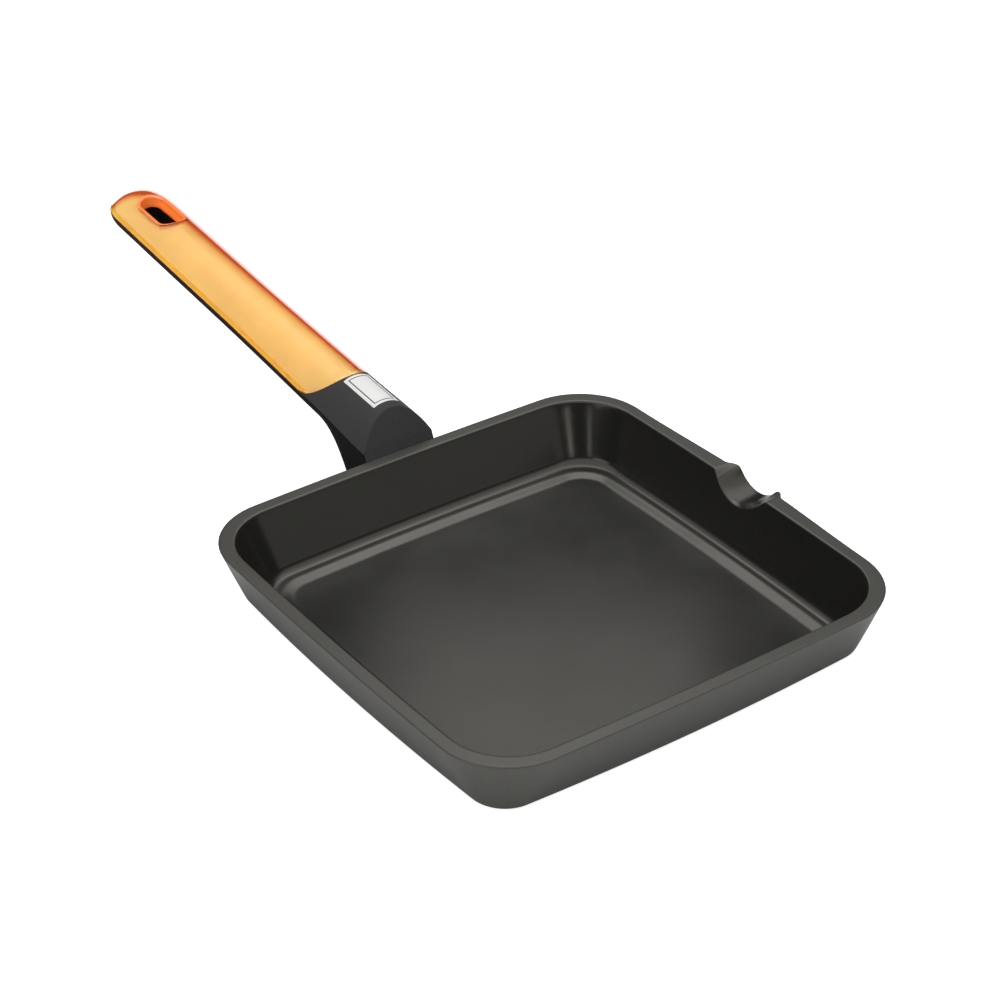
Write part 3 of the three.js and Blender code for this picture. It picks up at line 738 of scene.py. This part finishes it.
DOME_STEPS, KEEL_STEPS = 26, 26  # from the crown to the ridge, and from there to the bottom
NECK_ROWS, GRIP_ROWS, INLAY_ROWS, TIP_ROWS = 42, 60, 90, 30  # along the handle
TIP_RUN = 32 * MM  # length at the tip where the rows lie close together
WAIST_SHARE, WIDEST_SHARE = 0.52, 0.83  # of the handle's length, to its waist and the wider grip
END_POWER = 2.7  # fullness of the rounded end, where 2 is an oval
CUT_ROUNDS, START_ROUNDS = 40, 8  # rounds in which the neck's end and the inlay's start settle on the skin
PAINTED_LIGHT_TOP, PAINTED_SHADE_SIDES = 0, 1  # finishes of the handle: its top in painted light, its sides and underside in painted shade
GEL, BACKING, LINING, SEAT = 0, 1, 2, 3  # finishes of the inlay
CUT_ABOVE = 8 * MM  # how far the slot's cutter stands above the dome
DOME = np.linspace(0, 1, DOME_STEPS + 1)
KEEL = np.linspace(0, np.pi / 2, KEEL_STEPS + 1)


def crown_at(x, pan, handle):
    return pan.height + handle.crown_rise + (x - RIM_X) * math.tan(handle.crown_slope)


def ridge_at(x, pan, handle):
    return pan.height + handle.ridge_rise + (x - RIM_X) * math.tan(handle.ridge_slope)


def handle_section(x, pan, handle, inset=0.0):
    """Half width over the ridges, height of the dome, and depth, flare and fullness of the keel, at x, or
    inset from the skin there."""
    tip = RIM_X + handle.reach - inset
    waist_x, widest_x = (RIM_X + share * handle.reach for share in (WAIST_SHARE, WIDEST_SHARE))

    def close(end, power):
        past = np.clip((x - (tip - end + inset)) / (end - inset), 0, 1)
        return (1 - past**power) ** (1 / power)

    neck = 1 - smooth(x, RIM_X, RIM_X + handle.neck_length)
    half = mix(handle.neck_half, handle.waist_half, smooth(x, RIM_X + 0.6 * handle.neck_length, waist_x))
    half = mix(half, handle.grip_half, smooth(x, waist_x, widest_x)) + handle.ridge_flare * neck
    rise = crown_at(x, pan, handle) - ridge_at(x, pan, handle)
    return (
        (half - inset) * close(handle.end, END_POWER),
        (rise - inset) * close(handle.crown_end, 2),
        mix(handle.grip_keel, handle.neck_keel, neck) * close(handle.end, 2),
        handle.keel_flare * neck,
        mix(handle.keel_power, handle.neck_power, neck),
    )


def dome_points(x, share, pan, handle, inset=0.0):
    """Points on the dome, where share runs from 0 on the crown to 1 on the ridge."""
    half, rise, *_ = handle_section(x, pan, handle, inset)
    z = ridge_at(x, pan, handle) + rise * (1 - share**handle.dome_power)
    return np.stack([x, half * share, z], -1)


def keel_points(x, turn, pan, handle):
    """Points on the rounded underside. Turn runs from 0 on the ridge to a right angle at the bottom."""
    half, _, depth, flare, power = handle_section(x, pan, handle)
    c, s = np.where(np.isclose(turn, np.pi / 2), 0, np.cos(turn)), np.sin(turn)
    y = (half + flare * s) * c**power
    return np.stack([x, y, ridge_at(x, pan, handle) - depth * s**power], -1)


def soft_ridge(dome, ridge, keel, rounding):
    """Three points that soften the crease at the ridge."""
    reach = np.minimum(rounding, 0.4 * np.linalg.norm(dome - ridge, axis=-1))[..., None]
    above, below = ridge + unit(dome - ridge) * reach, ridge + unit(keel - ridge) * reach
    return np.stack([above, (above + 2 * ridge + below) / 4, below], -2)


def handle_half_rings(x, pan, handle):
    """Half outlines on the outer skin at the places x, from the crown over the ridge to the bottom."""
    ridge_columns = slice(DOME_STEPS, DOME_STEPS + 3)
    dome = dome_points(x[:, :DOME_STEPS], DOME[:-1], pan, handle)
    keel = keel_points(x[:, DOME_STEPS + 3:], KEEL[1:], pan, handle)
    near = x[:, ridge_columns][:, 1]
    ridge = soft_ridge(
        dome_points(near, DOME[-2], pan, handle),
        dome_points(near, 1.0, pan, handle),
        keel_points(near, KEEL[1], pan, handle),
        handle.ridge_rounding,
    )
    return np.concatenate([dome, ridge, keel], 1)


def mirrored(halves):
    """Closed rings from half outlines that start and end on the plane y = 0."""
    other = halves[:, -2:0:-1] * (1, -1, 1)
    return np.concatenate([halves, other], 1)


def inlay_start(y, inlay, handle, grow=0.0):
    """Where the inlay starts along the handle, at a place across it: straight, with oval corners."""
    straight = handle.neck_half + grow - inlay.corner_width
    over = np.clip((np.abs(y) - straight) / inlay.corner_width, 0, 1)
    return RIM_X + inlay.start - grow + inlay.corner_length * (1 - np.sqrt(1 - over**2))


def dome_starts(share, pan, handle, inlay, grow=0.0, inset=0.0):
    """Where each column of the dome meets the outline of the inlay."""
    x = np.full_like(share, RIM_X + inlay.start)
    for _ in range(START_ROUNDS):
        x = inlay_start(dome_points(x, share, pan, handle, inset)[:, 1], inlay, handle, grow)
    return x


def grip_shares(straight, end_share):
    """Shares of the grip's length, close together where the end turns round."""
    run = np.linspace(0, 1 - end_share, straight, endpoint=False)
    end = np.sin(np.linspace(0, np.pi / 2, TIP_ROWS))
    return np.concatenate([run, 1 - end_share + end_share * end])


def neck_cut(z, pan, handle, gap):
    """Where the neck ends: at the pan's leaning wall below the rim, and at the leaning facet above it."""
    up = z - pan.height
    return RIM_X + gap + up * np.where(up < 0, math.tan(pan.wall_lean), math.tan(handle.facet_lean))


def neck_rows(pan, handle, inlay):
    """Half outlines from the end facet, round its edge and along the neck to the inlay's seat."""
    seats = dome_starts(DOME[:-1], pan, handle, inlay, inlay.gap)
    seats = np.concatenate([seats, np.full(KEEL_STEPS + 3, seats[-1])])
    cut = np.full_like(seats, RIM_X)
    for _ in range(CUT_ROUNDS):
        cut = neck_cut(handle_half_rings(cut[None], pan, handle)[0, :, 2], pan, handle, inlay.gap)
    rim = handle_half_rings(cut[None], pan, handle)[0]
    first = handle_half_rings(cut[None] + handle.facet_edge, pan, handle)[0]
    run = np.gradient(rim[:, 1:], axis=0)
    inward = unit(np.stack([-run[:, 1], run[:, 0]], -1))
    inward[[0, -1], 0] = 0
    facet = rim.copy()
    facet[:, 1:] -= inward * handle.facet_edge
    facet[:, 0] = neck_cut(facet[:, 2], pan, handle, inlay.gap)
    x = np.stack([mix(cut + handle.facet_edge, seats, t) for t in np.linspace(0, 1, NECK_ROWS)])
    edge = [facet, (facet + 2 * rim + first) / 4]
    return np.concatenate([np.stack(edge), handle_half_rings(x, pan, handle)]), seats


def grip_rows(pan, handle, inlay, seats):
    """Half outlines along the grip: the dome that carries the inlay, the ledge round it, and the keel."""
    inset, tip = inlay.thickness + inlay.gap, RIM_X + handle.reach
    shares = grip_shares(GRIP_ROWS, TIP_RUN / (tip - seats[-1]))[:, None]
    dome_x = mix(seats[:DOME_STEPS], tip - inset, shares)
    dome = dome_points(dome_x, np.linspace(0, 1, DOME_STEPS), pan, handle, inset)
    x = mix(seats[-1], tip, shares)
    half = handle_section(x, pan, handle)[0]
    soft = np.minimum(handle.ridge_rounding / 2, half / 4)
    low = ridge_at(x, pan, handle) - np.minimum(inlay.gap, half / 4)
    dome[..., 2] -= np.where(dome[..., 2] < low + inlay.gap, np.minimum(inlay.gap, half / 4), 0)
    ledge = [(half - soft, low), (half - soft / 4, low - soft / 4), (half, low - soft)]
    ledge = np.stack([np.concatenate([x, y, z], -1) for y, z in ledge], 1)
    keel = keel_points(np.broadcast_to(x, (len(x), KEEL_STEPS)), KEEL[1:], pan, handle)
    return np.concatenate([dome, ledge, keel], 1)


def stadium(handle, grow, z, sides=64):
    """Ring of the hanging slot's outline, grown all round."""
    middle = RIM_X + handle.reach - handle.slot_from_tip
    radius, straight = handle.slot_width / 2 + grow, (handle.slot_length - handle.slot_width) / 2
    turn = (np.arange(sides) + 0.5) * 2 * np.pi / sides
    x = middle + np.sign(np.cos(turn)) * straight + radius * np.cos(turn)
    return np.stack([x, radius * np.sin(turn), np.full(sides, z)], -1)


def slot_rings(pan, handle, inlay, grow, top=None):
    """Rings of the funnel that the gel lines, grown all round: as deep all over below the dome, up to a depth
    or past the dome's surface with the edge rounded off."""
    low, flare, lip = inlay.slot_depth + grow, inlay.slot_flare, inlay.slot_lip
    high = lip if top is None else top
    steps = [(mix(0, flare, t), mix(low, high, t), inlay.slot_lean * (1 - t)) for t in np.linspace(0, 1, 9)]
    if top is None:
        turns = np.linspace(0, np.pi / 2, 7)[1:]
        steps += [(flare + lip * (1 - math.cos(a)), lip * (1 - math.sin(a)), 0) for a in turns]
        mouth = flare + 1.5 * lip
        steps += [(mouth, -lip / 2, 0), (mouth, -CUT_ABOVE, 0)]
    rings = []
    for out, depth, lean in steps:
        ring = stadium(handle, out + grow, 0) + (lean, 0, 0)
        half, *_ = handle_section(ring[:, 0], pan, handle)
        share = np.minimum(np.abs(ring[:, 1]) / half, 1)
        ring[:, 2] = dome_points(ring[:, 0], share, pan, handle)[:, 2] - depth
        rings.append(ring)
    return rings


def slot_cutters(pan, handle, inlay, grow):
    """Points and faces of the funnel, grown all round, and of the straight shaft below it."""
    shaft = [stadium(handle, 0, z) + (inlay.slot_lean, 0, 0) for z in (0.0, 4 * pan.height)]
    return [ring_solid(slot_rings(pan, handle, inlay, grow)), ring_solid(shaft)]


def build_handle(pan, handle, inlay, lug, materials):
    neck, seats = neck_rows(pan, handle, inlay)
    rings = mirrored(np.concatenate([neck, grip_rows(pan, handle, inlay, seats)]))
    rows, count = rings.shape[:2]
    faces = grid_faces(rows, count)
    half, ridge = count // 2, DOME_STEPS + 1
    # Below the ridges the faces take the painted shade, above them the painted light
    finishes = [PAINTED_SHADE_SIDES if ridge <= i % count < count - ridge else PAINTED_LIGHT_TOP for i in range(len(faces))]
    faces += [(0, 1, count - 1), (half, half + 1, half - 1)]
    faces += [(i, i + 1, count - i - 1, count - i) for i in range(1, half - 1)]
    finishes += [PAINTED_LIGHT_TOP] * half
    piece = mesh_piece("moulded_handle", rings.reshape(-1, 3), faces, 40, materials, finishes)
    tools = [
        *slot_cutters(pan, handle, inlay, inlay.lining + inlay.gap),
        block(lug_outline(pan, lug, lug.gap), lug.width + 2 * lug.gap),
        cylinder(lug.bore, 0, SEAT_Z + lug.thickness, SCREW_X),
        cylinder(lug.counterbore, 0, SEAT_Z, SCREW_X),
    ]
    combine(piece, [mesh_piece("handle_tool", *tool) for tool in tools], "DIFFERENCE", finish=PAINTED_SHADE_SIDES)
    return piece


# Gel inlay

def inlay_halves(pan, handle, inlay):
    """Half outlines of the gel shell: outer skin from the crown down, lower edge, and inner skin back up."""
    inset, tip, soft = inlay.thickness, RIM_X + handle.reach, inlay.edge
    outer_x, inner_x = (dome_starts(DOME, pan, handle, inlay, 0.0, i) for i in (0.0, inset))
    shares = grip_shares(INLAY_ROWS, TIP_RUN / (tip - outer_x[0]))[1:, None]
    face = dome_points(outer_x, DOME, pan, handle, soft)
    first = dome_points(outer_x + soft, DOME, pan, handle)
    corner = dome_points(outer_x, DOME, pan, handle)
    skin = dome_points(mix(outer_x + soft, tip, shares), DOME, pan, handle)
    skin = np.concatenate([np.stack([face, (face + 2 * corner + first) / 4, first]), skin])
    inner = dome_points(mix(inner_x, tip - inset, shares), DOME, pan, handle, inset)
    start = dome_points(inner_x, DOME, pan, handle, inset)
    starts = [start + (nudge * MM, 0, 0) for nudge in (0, 0.02, 0.04)]
    inner = np.concatenate([np.stack(starts), inner])
    ridge = skin[:, -1]
    scale = np.minimum(1, ridge[:, 1:2] / (4 * soft))
    above, aside = ridge.copy(), ridge.copy()
    above[:, 2:] += soft * scale
    aside[:, 1:2] -= soft * scale
    edge = np.stack([above, (above + 2 * ridge + aside) / 4, aside], 1)
    return np.concatenate([skin[:, :-1], edge, inner[:, ::-1]], 1)


def inlay_finish(column, count):
    """Finish of a face of the inlay by its column: clear outside, pale inside, yellow at the lower edge."""
    first, last = DOME_STEPS + 2, count - DOME_STEPS - 3
    if column in (first, last):
        return SEAT
    return BACKING if first < column < last else GEL


def build_inlay(pan, handle, inlay, materials):
    halves = inlay_halves(pan, handle, inlay)
    rings = mirrored(halves)
    rows, count = rings.shape[:2]
    faces = grid_faces(rows, count)
    finishes = [inlay_finish(i % count, count) for i in range(len(faces))]
    across = halves.shape[1] - 1
    for i in range(DOME_STEPS):
        quad = (i, i + 1, across - i - 1, across - i)
        other = tuple((count - j) % count for j in quad)
        faces += [quad, tuple(reversed(other))]
    lip = tuple(range(DOME_STEPS, DOME_STEPS + 4))
    faces += [lip, tuple(reversed([count - j for j in lip]))]
    finishes += [GEL] * (len(faces) - len(finishes))
    piece = mesh_piece("gel_inlay", rings.reshape(-1, 3), faces, 40, materials, finishes)
    lining = ring_solid(slot_rings(pan, handle, inlay, inlay.lining, inlay.thickness / 2))
    combine(piece, [mesh_piece("slot_lining", *lining)], "UNION", finish=LINING)
    tools = [mesh_piece("slot_tool", *tool) for tool in slot_cutters(pan, handle, inlay, 0.0)]
    combine(piece, tools, "DIFFERENCE", finish=LINING)
    return piece


def gel_material(inlay):
    """Clear amber gel, whose colour deepens with the way through it and where it is seen edge on."""
    material, tree, shader, out = new_material("amber_gel")
    set_sockets(shader, Roughness=0.06, IOR=1.45, Transmission_Weight=1.0)
    absorb = node(tree, "ShaderNodeVolumeAbsorption", {"Color": (*inlay.gel, 1), "Density": 190.0})
    edge = node(tree, "ShaderNodeLayerWeight", {"Blend": 0.5})
    depth = node(tree, "ShaderNodeMapRange", {"From Min": 0.44, "From Max": 0.66})
    depth.interpolation_type = "SMOOTHSTEP"
    tint = node(tree, "ShaderNodeMix", data_type="RGBA")
    tint.inputs["A"].default_value = (1, 1, 1, 1)
    tint.inputs["B"].default_value = (*inlay.gel_edge, 1)
    chain(
        tree,
        (absorb.outputs["Volume"], out.inputs["Volume"]),
        (edge.outputs["Facing"], depth.inputs["Value"]),
        (depth.outputs["Result"], tint.inputs["Factor"]),
        (tint.outputs["Result"], shader.inputs["Base Color"]),
    )
    return material


# Neck plate

NECK_PLATE_SINK = 0.05 * MM  # of its underside in the moulding


def build_neck_plate(pan, handle, plate, materials):
    """Thin plate on the crown of the neck, plain but for a frame line."""
    half, low, high = plate.width / 2, plate.start + plate.margin, plate.start + plate.reach - plate.margin
    side = half - plate.margin
    along = np.linspace(low + plate.line, high - plate.line, 7)
    along = np.array([plate.start, low, *along, high, plate.start + plate.reach])
    across = np.linspace(plate.line - side, side - plate.line, 9)
    across = np.array([-half, -side, *across, side, half]) - plate.shift
    x, y = np.meshgrid(RIM_X + along, across, indexing="ij")
    top = dome_points(x, np.abs(y) / handle_section(x, pan, handle)[0], pan, handle)
    top[..., 1] = y
    rows, columns = x.shape
    heights = (plate.thickness, -NECK_PLATE_SINK)
    points = np.concatenate([(top + (0, 0, up)).reshape(-1, 3) for up in heights])
    faces, finishes = [], []
    for i in range(rows - 1):
        for j in range(columns - 1):
            a = i * columns + j
            faces.append((a, a + columns, a + columns + 1, a + 1))
            inside = 0 < i < rows - 2 and 0 < j < columns - 2
            line = i in (1, rows - 3) or j in (1, columns - 3)
            finishes.append(1 if inside and line else 0)
    below = rows * columns
    faces += [tuple(below + k for k in reversed(face)) for face in faces]
    loop = [i * columns for i in range(rows - 1)] + [(rows - 1) * columns + j for j in range(columns - 1)]
    loop += [i * columns + columns - 1 for i in range(rows - 1, 0, -1)] + list(range(columns - 1, 0, -1))
    faces += [(b, a, below + a, below + b) for a, b in zip(loop, loop[1:] + loop[:1])]
    finishes += [0] * (len(faces) - len(finishes))
    return mesh_piece("neck_plate", points, faces, 40, materials, finishes)


# Induction plate

def build_plate():
    """Round plate with rings of holes, as a filled flat curve with a rounded edge."""
    edge = 0.12 * MM
    data = bpy.data.curves.new("plate_outline", "CURVE")
    data.dimensions, data.fill_mode = "2D", "BOTH"
    data.extrude, data.bevel_depth, data.bevel_resolution = PLATE_THICKNESS / 2 - edge, edge, 2
    rings = [(PLATE_RADIUS - edge, 0.0, 0.0, 128)]
    rings += [(HOLE_RADIUS + edge, x, y, HOLE_SIDES) for x, y in PLATE_HOLES]
    for radius, x, y, sides in rings:
        spline = data.splines.new("POLY")
        spline.points.add(sides - 1)
        places = np.column_stack([circle(radius, 0, x, y, sides), np.ones(sides)])
        spline.points.foreach_set("co", places.ravel())
        spline.use_cyclic_u = True
    outline = bpy.data.objects.new("plate_outline", data)
    bpy.context.scene.collection.objects.link(outline)
    outline.location.z = PLATE_THICKNESS / 2
    bpy.context.view_layer.update()
    evaluated = outline.evaluated_get(bpy.context.evaluated_depsgraph_get())
    mesh = bpy.data.meshes.new_from_object(evaluated)
    mesh.transform(outline.matrix_world)
    bpy.data.objects.remove(outline)
    return closed_piece("pressed_plate", mesh)


# Studio

FLOOR_HALF, FLOOR_DEPTH = 4.0, 0.02
SKY_STOPS = ((0.0, 0.02), (0.55, 0.03), (0.62, 0.06), (0.7, 0.5), (0.8, 0.95), (1.0, 1.0))  # height and light
BRIGHT_SKY = (0.379, -0.485, 0.788)  # direction where the sky is brightest
CAMERA_PLACE = (-0.73398, 0.55661, 0.64620)
# The camera's axes point right, up and back.
CAMERA_AXES = ((-0.5869, -0.8097, 0.0), (0.4350, -0.3153, 0.8434), (-0.6829, 0.4950, 0.5373))


def gel_only():
    """Collection of what takes the light that is meant for the gel alone."""
    lit = bpy.data.collections.get("gel_only")
    if lit is None:
        lit = bpy.data.collections.new("gel_only")
        lit.objects.link(bpy.data.objects["gel_inlay"])
    return lit


def build_floor(studio):
    near, far = -FLOOR_HALF, FLOOR_HALF
    corners = ((near, near), (far, near), (far, far), (near, far))
    slab = ring_solid([[(x, y, z) for x, y in corners] for z in (-FLOOR_DEPTH, 0.0)])
    material, shader = grained_material(
        "pale_floor", studio.floor, grain=300.0, mottle=3.0, dots=1.0, roughness=0.7, bump=0.0
    )
    set_sockets(shader, Emission_Color=(1, 1, 1, 1), Emission_Strength=studio.glow)
    floor = mesh_piece("studio_floor", *slab, materials=[material])
    floor.light_linking.receiver_collection = gel_only()


def build_world(studio):
    """Soft light from above, strongest behind the pan, that falls off to dark walls round the horizon."""
    world = bpy.data.worlds.new("studio_world")
    bpy.context.scene.world = world
    world.use_nodes = True
    tree = world.node_tree
    where = node(tree, "ShaderNodeTexCoord")
    split = node(tree, "ShaderNodeSeparateXYZ")
    ramp = node(tree, "ShaderNodeValToRGB")
    ramp.color_ramp.interpolation = "EASE"
    while len(ramp.color_ramp.elements) < len(SKY_STOPS):
        ramp.color_ramp.elements.new(0.5)
    for element, (height, light) in zip(ramp.color_ramp.elements, SKY_STOPS):
        element.position = height
        element.color = (light, light, light, 1)
    toward = node(tree, "ShaderNodeVectorMath", operation="DOT_PRODUCT")
    toward.inputs[1].default_value = BRIGHT_SKY
    strength = node(tree, "ShaderNodeMapRange", {"From Min": 0.84, "From Max": 0.96})
    strength.interpolation_type = "SMOOTHSTEP"
    strength.inputs["To Min"].default_value = 0.55 * studio.sky
    strength.inputs["To Max"].default_value = 0.88 * studio.sky
    back = tree.nodes["Background"]
    chain(
        tree,
        (where.outputs["Generated"], split.inputs["Vector"]),
        (where.outputs["Generated"], toward.inputs[0]),
        (split.outputs["Z"], ramp.inputs["Fac"]),
        (ramp.outputs["Color"], back.inputs["Color"]),
        (toward.outputs["Value"], strength.inputs["Value"]),
        (strength.outputs["Result"], back.inputs["Strength"]),
    )


def build_lights(studio):
    """Area lights, each with its place, what it is aimed at, its size and its power."""
    for name, place, aim, size, watts in (
        ("gel_light", (0.1, 0.4, 1.3), (0.1, 0, 0), (1.4, 1.4), studio.gel_power),
        ("soft_box", (0.4, -0.303, 0.526), (0, 0, 0), (0.23, 0.3), studio.box_power),
        ("side_panel", (-1.3, -0.75, 0.3), (0, 0, 0.02), (1.0, 0.9), studio.side_power),
        ("fill_panel", (-0.11, 1.256, 0.985), (0, 0, 0), (1.0, 0.6), studio.fill_power),
        ("strip_left", (-1.2, 1.56, 0.5), (0.08, -0.08, 0.02), (0.2, 0.9), studio.strip_power),
        ("strip_right", (-1.95, 0.31, 0.5), (0.08, -0.08, 0.02), (0.3, 0.9), 2 * studio.strip_power),
    ):
        data = bpy.data.lights.new(name, "AREA")
        data.shape = "RECTANGLE"
        data.energy = watts
        data.size, data.size_y = size
        light = bpy.data.objects.new(name, data)
        light.location = place
        light.rotation_euler = (Vector(aim) - Vector(place)).to_track_quat("-Z", "Y").to_euler()
        bpy.context.scene.collection.objects.link(light)
        if name == "gel_light":
            light.light_linking.receiver_collection = gel_only()


def build_camera(studio):
    data = bpy.data.cameras.new("photo_camera")
    data.lens = studio.lens
    data.sensor_width = 36
    camera = bpy.data.objects.new("photo_camera", data)
    turn = Matrix(CAMERA_AXES).transposed().to_4x4()
    camera.matrix_world = Matrix.Translation(CAMERA_PLACE) @ turn.normalized()
    bpy.context.scene.collection.objects.link(camera)
    bpy.context.scene.camera = camera
    bpy.context.scene.view_settings.view_transform = "Standard"


# Operators

class GRIDDLE_OT_cast_pan(bpy.types.Operator):
    """Builds the cast pan with its spout, step and coat"""

    bl_idname = "griddle.cast_pan"
    bl_label = "Cast Pan"

    def execute(self, context):
        settings = context.scene.griddle_pan
        pan = settings.pan
        materials = []
        for name, rgb, dots, roughness, bump in (
            ("dark_coat", pan.coat, 1.5, pan.coat_roughness, 0.25),
            ("rim_paint", pan.paint, 1.7, pan.paint_roughness, 0.4),
            # The outside's paint is the rim's made lighter, as painted light
            ("outer_paint_lit", pan.outside, 1.7, pan.paint_roughness, 0.4),
        ):
            material, shader = grained_material(
                name, rgb, grain=1900.0, mottle=22.0, dots=dots, roughness=roughness, bump=bump
            )
            set_sockets(shader, IOR=1.5, Specular_Tint=(1, 0.975, 0.88, 1))
            materials.append(material)
        piece = build_pan_body(pan, settings.spout, settings.lug, materials)
        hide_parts("pan_body")
        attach(piece, BODY)
        return {"FINISHED"}


class GRIDDLE_OT_handle(bpy.types.Operator):
    """Builds the moulded handle with its neck, seat and hanging slot"""

    bl_idname = "griddle.handle"
    bl_label = "Moulded Handle"

    def execute(self, context):
        settings = context.scene.griddle_pan
        handle = settings.handle
        materials = []
        # Lit and shaded copies of the black moulding: painted light on the top, painted shade below
        for name, rgb in (("moulding_painted_light", handle.satin), ("moulding_painted_shade", handle.shaded_sides)):
            material, shader = grained_material(
                name, rgb, grain=1500.0, mottle=30.0, dots=1.3, roughness=0.45, bump=0.2
            )
            set_sockets(shader, IOR=1.45, Specular_IOR_Level=0.03)
            materials.append(material)
        piece = build_handle(settings.pan, handle, settings.inlay, settings.lug, materials)
        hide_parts("handle_body")
        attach(piece, BODY)
        return {"FINISHED"}


class GRIDDLE_OT_inlay(bpy.types.Operator):
    """Builds the gel inlay of the grip"""

    bl_idname = "griddle.inlay"
    bl_label = "Gel Inlay"

    def execute(self, context):
        settings = context.scene.griddle_pan
        inlay = settings.inlay
        materials = [gel_material(inlay)]
        for name, rgb, grain, mottle, dots, roughness, bump in (
            ("pale_backing", inlay.backing, 300.0, 40.0, 1.0, 0.6, 0.0),
            ("slot_gel", inlay.deep, 900.0, 60.0, 1.2, 0.2, 0.05),
            ("yellow_seat", inlay.seat, 300.0, 40.0, 1.0, 0.6, 0.0),
        ):
            materials.append(grained_material(name, rgb, grain, mottle, dots, roughness, bump)[0])
        piece = build_inlay(settings.pan, settings.handle, inlay, materials)
        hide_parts("grip_inlay")
        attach(piece, BODY)
        return {"FINISHED"}


class GRIDDLE_OT_neck_plate(bpy.types.Operator):
    """Builds the plain plate on the neck"""

    bl_idname = "griddle.neck_plate"
    bl_label = "Neck Plate"

    def execute(self, context):
        settings = context.scene.griddle_pan
        plate = settings.neck_plate
        materials = []
        for name, rgb, dots in (("plate_white", plate.white, 1.0), ("plate_ink", plate.ink, 1.4)):
            material, _ = grained_material(
                name, rgb, grain=900.0, mottle=60.0, dots=dots, roughness=0.5, bump=0.05
            )
            materials.append(material)
        piece = build_neck_plate(settings.pan, settings.handle, plate, materials)
        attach(piece, BODY)
        return {"FINISHED"}


class GRIDDLE_OT_plate(bpy.types.Operator):
    """Builds the perforated steel plate in the underside"""

    bl_idname = "griddle.plate"
    bl_label = "Induction Plate"

    def execute(self, context):
        steel = context.scene.griddle_pan.steel
        piece = build_plate()
        brushed = steel_material("brushed_plate", steel.plate, roughness=0.36, stretch=12.0)
        piece.data.materials.append(brushed)
        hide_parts("induction_plate")
        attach(piece, BODY)
        return {"FINISHED"}


class GRIDDLE_OT_fastening(bpy.types.Operator):
    """Gives the screw, its washer and the threaded insert their finish"""

    bl_idname = "griddle.fastening"
    bl_label = "Fastening"

    def execute(self, context):
        steel = context.scene.griddle_pan.steel
        for name, rgb, roughness in (
            ("handle_screw", steel.screw, 0.3),
            ("screw_washer", steel.washer, 0.38),
            ("threaded_insert", steel.insert, 0.4),
        ):
            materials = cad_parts[name].data.materials
            materials.clear()
            materials.append(steel_material(name + "_steel", rgb, roughness, stretch=3.0))
        return {"FINISHED"}


class GRIDDLE_OT_studio(bpy.types.Operator):
    """Sets up the floor, the lights and the camera"""

    bl_idname = "griddle.studio"
    bl_label = "Studio"

    def execute(self, context):
        studio = context.scene.griddle_pan.studio
        build_floor(studio)
        build_world(studio)
        build_lights(studio)
        build_camera(studio)
        return {"FINISHED"}


# Panel and registration

class GriddleSettings(bpy.types.PropertyGroup):
    """All the settings of the griddle pan."""

    pan: PointerProperty(name="Pan", description="The casting", type=PanSettings)
    spout: PointerProperty(name="Spout", description="The pouring spout", type=SpoutSettings)
    handle: PointerProperty(name="Handle", description="The moulded handle", type=HandleSettings)
    neck_plate: PointerProperty(name="Neck plate", description="The plate on the neck", type=PlateSettings)
    lug: PointerProperty(name="Lug", description="The lug and the screw's holes", type=LugSettings)
    inlay: PointerProperty(name="Inlay", description="The gel inlay", type=InlaySettings)
    steel: PointerProperty(name="Steel", description="The steel pieces", type=SteelSettings)
    studio: PointerProperty(name="Studio", description="Camera and light", type=StudioSettings)


class GRIDDLE_PT_panel(bpy.types.Panel):
    """Sidebar panel with the settings and the steps of the griddle pan"""

    bl_idname = "GRIDDLE_PT_panel"
    bl_label = "Griddle Pan"
    bl_space_type = "VIEW_3D"
    bl_region_type = "UI"
    bl_category = "Griddle Pan"

    def draw(self, context):
        settings = context.scene.griddle_pan
        for operator, groups in PANEL_ROWS:
            box = self.layout.box()
            box.operator(operator)
            for name in groups:
                group = getattr(settings, name)
                for key in group.__annotations__:
                    box.prop(group, key)


PANEL_ROWS = (
    ("griddle.cast_pan", ("pan", "spout", "lug")),
    ("griddle.handle", ("handle",)),
    ("griddle.inlay", ("inlay",)),
    ("griddle.neck_plate", ("neck_plate",)),
    ("griddle.plate", ()),
    ("griddle.fastening", ("steel",)),
    ("griddle.studio", ("studio",)),
)

CLASSES = (
    PanSettings, SpoutSettings, HandleSettings, PlateSettings, LugSettings, InlaySettings, SteelSettings,
    StudioSettings, GriddleSettings, GRIDDLE_OT_cast_pan, GRIDDLE_OT_handle, GRIDDLE_OT_inlay,
    GRIDDLE_OT_neck_plate, GRIDDLE_OT_plate, GRIDDLE_OT_fastening, GRIDDLE_OT_studio, GRIDDLE_PT_panel,
)


def register():
    for cls in CLASSES:
        bpy.utils.register_class(cls)
    bpy.types.Scene.griddle_pan = PointerProperty(type=GriddleSettings)


def unregister():
    del bpy.types.Scene.griddle_pan
    for cls in reversed(CLASSES):
        bpy.utils.unregister_class(cls)


def main():
    register()
    bpy.ops.griddle.cast_pan()
    bpy.ops.griddle.handle()
    bpy.ops.griddle.inlay()
    bpy.ops.griddle.neck_plate()
    bpy.ops.griddle.plate()
    bpy.ops.griddle.fastening()
    bpy.ops.griddle.studio()


if __name__ == "__main__":
    main()
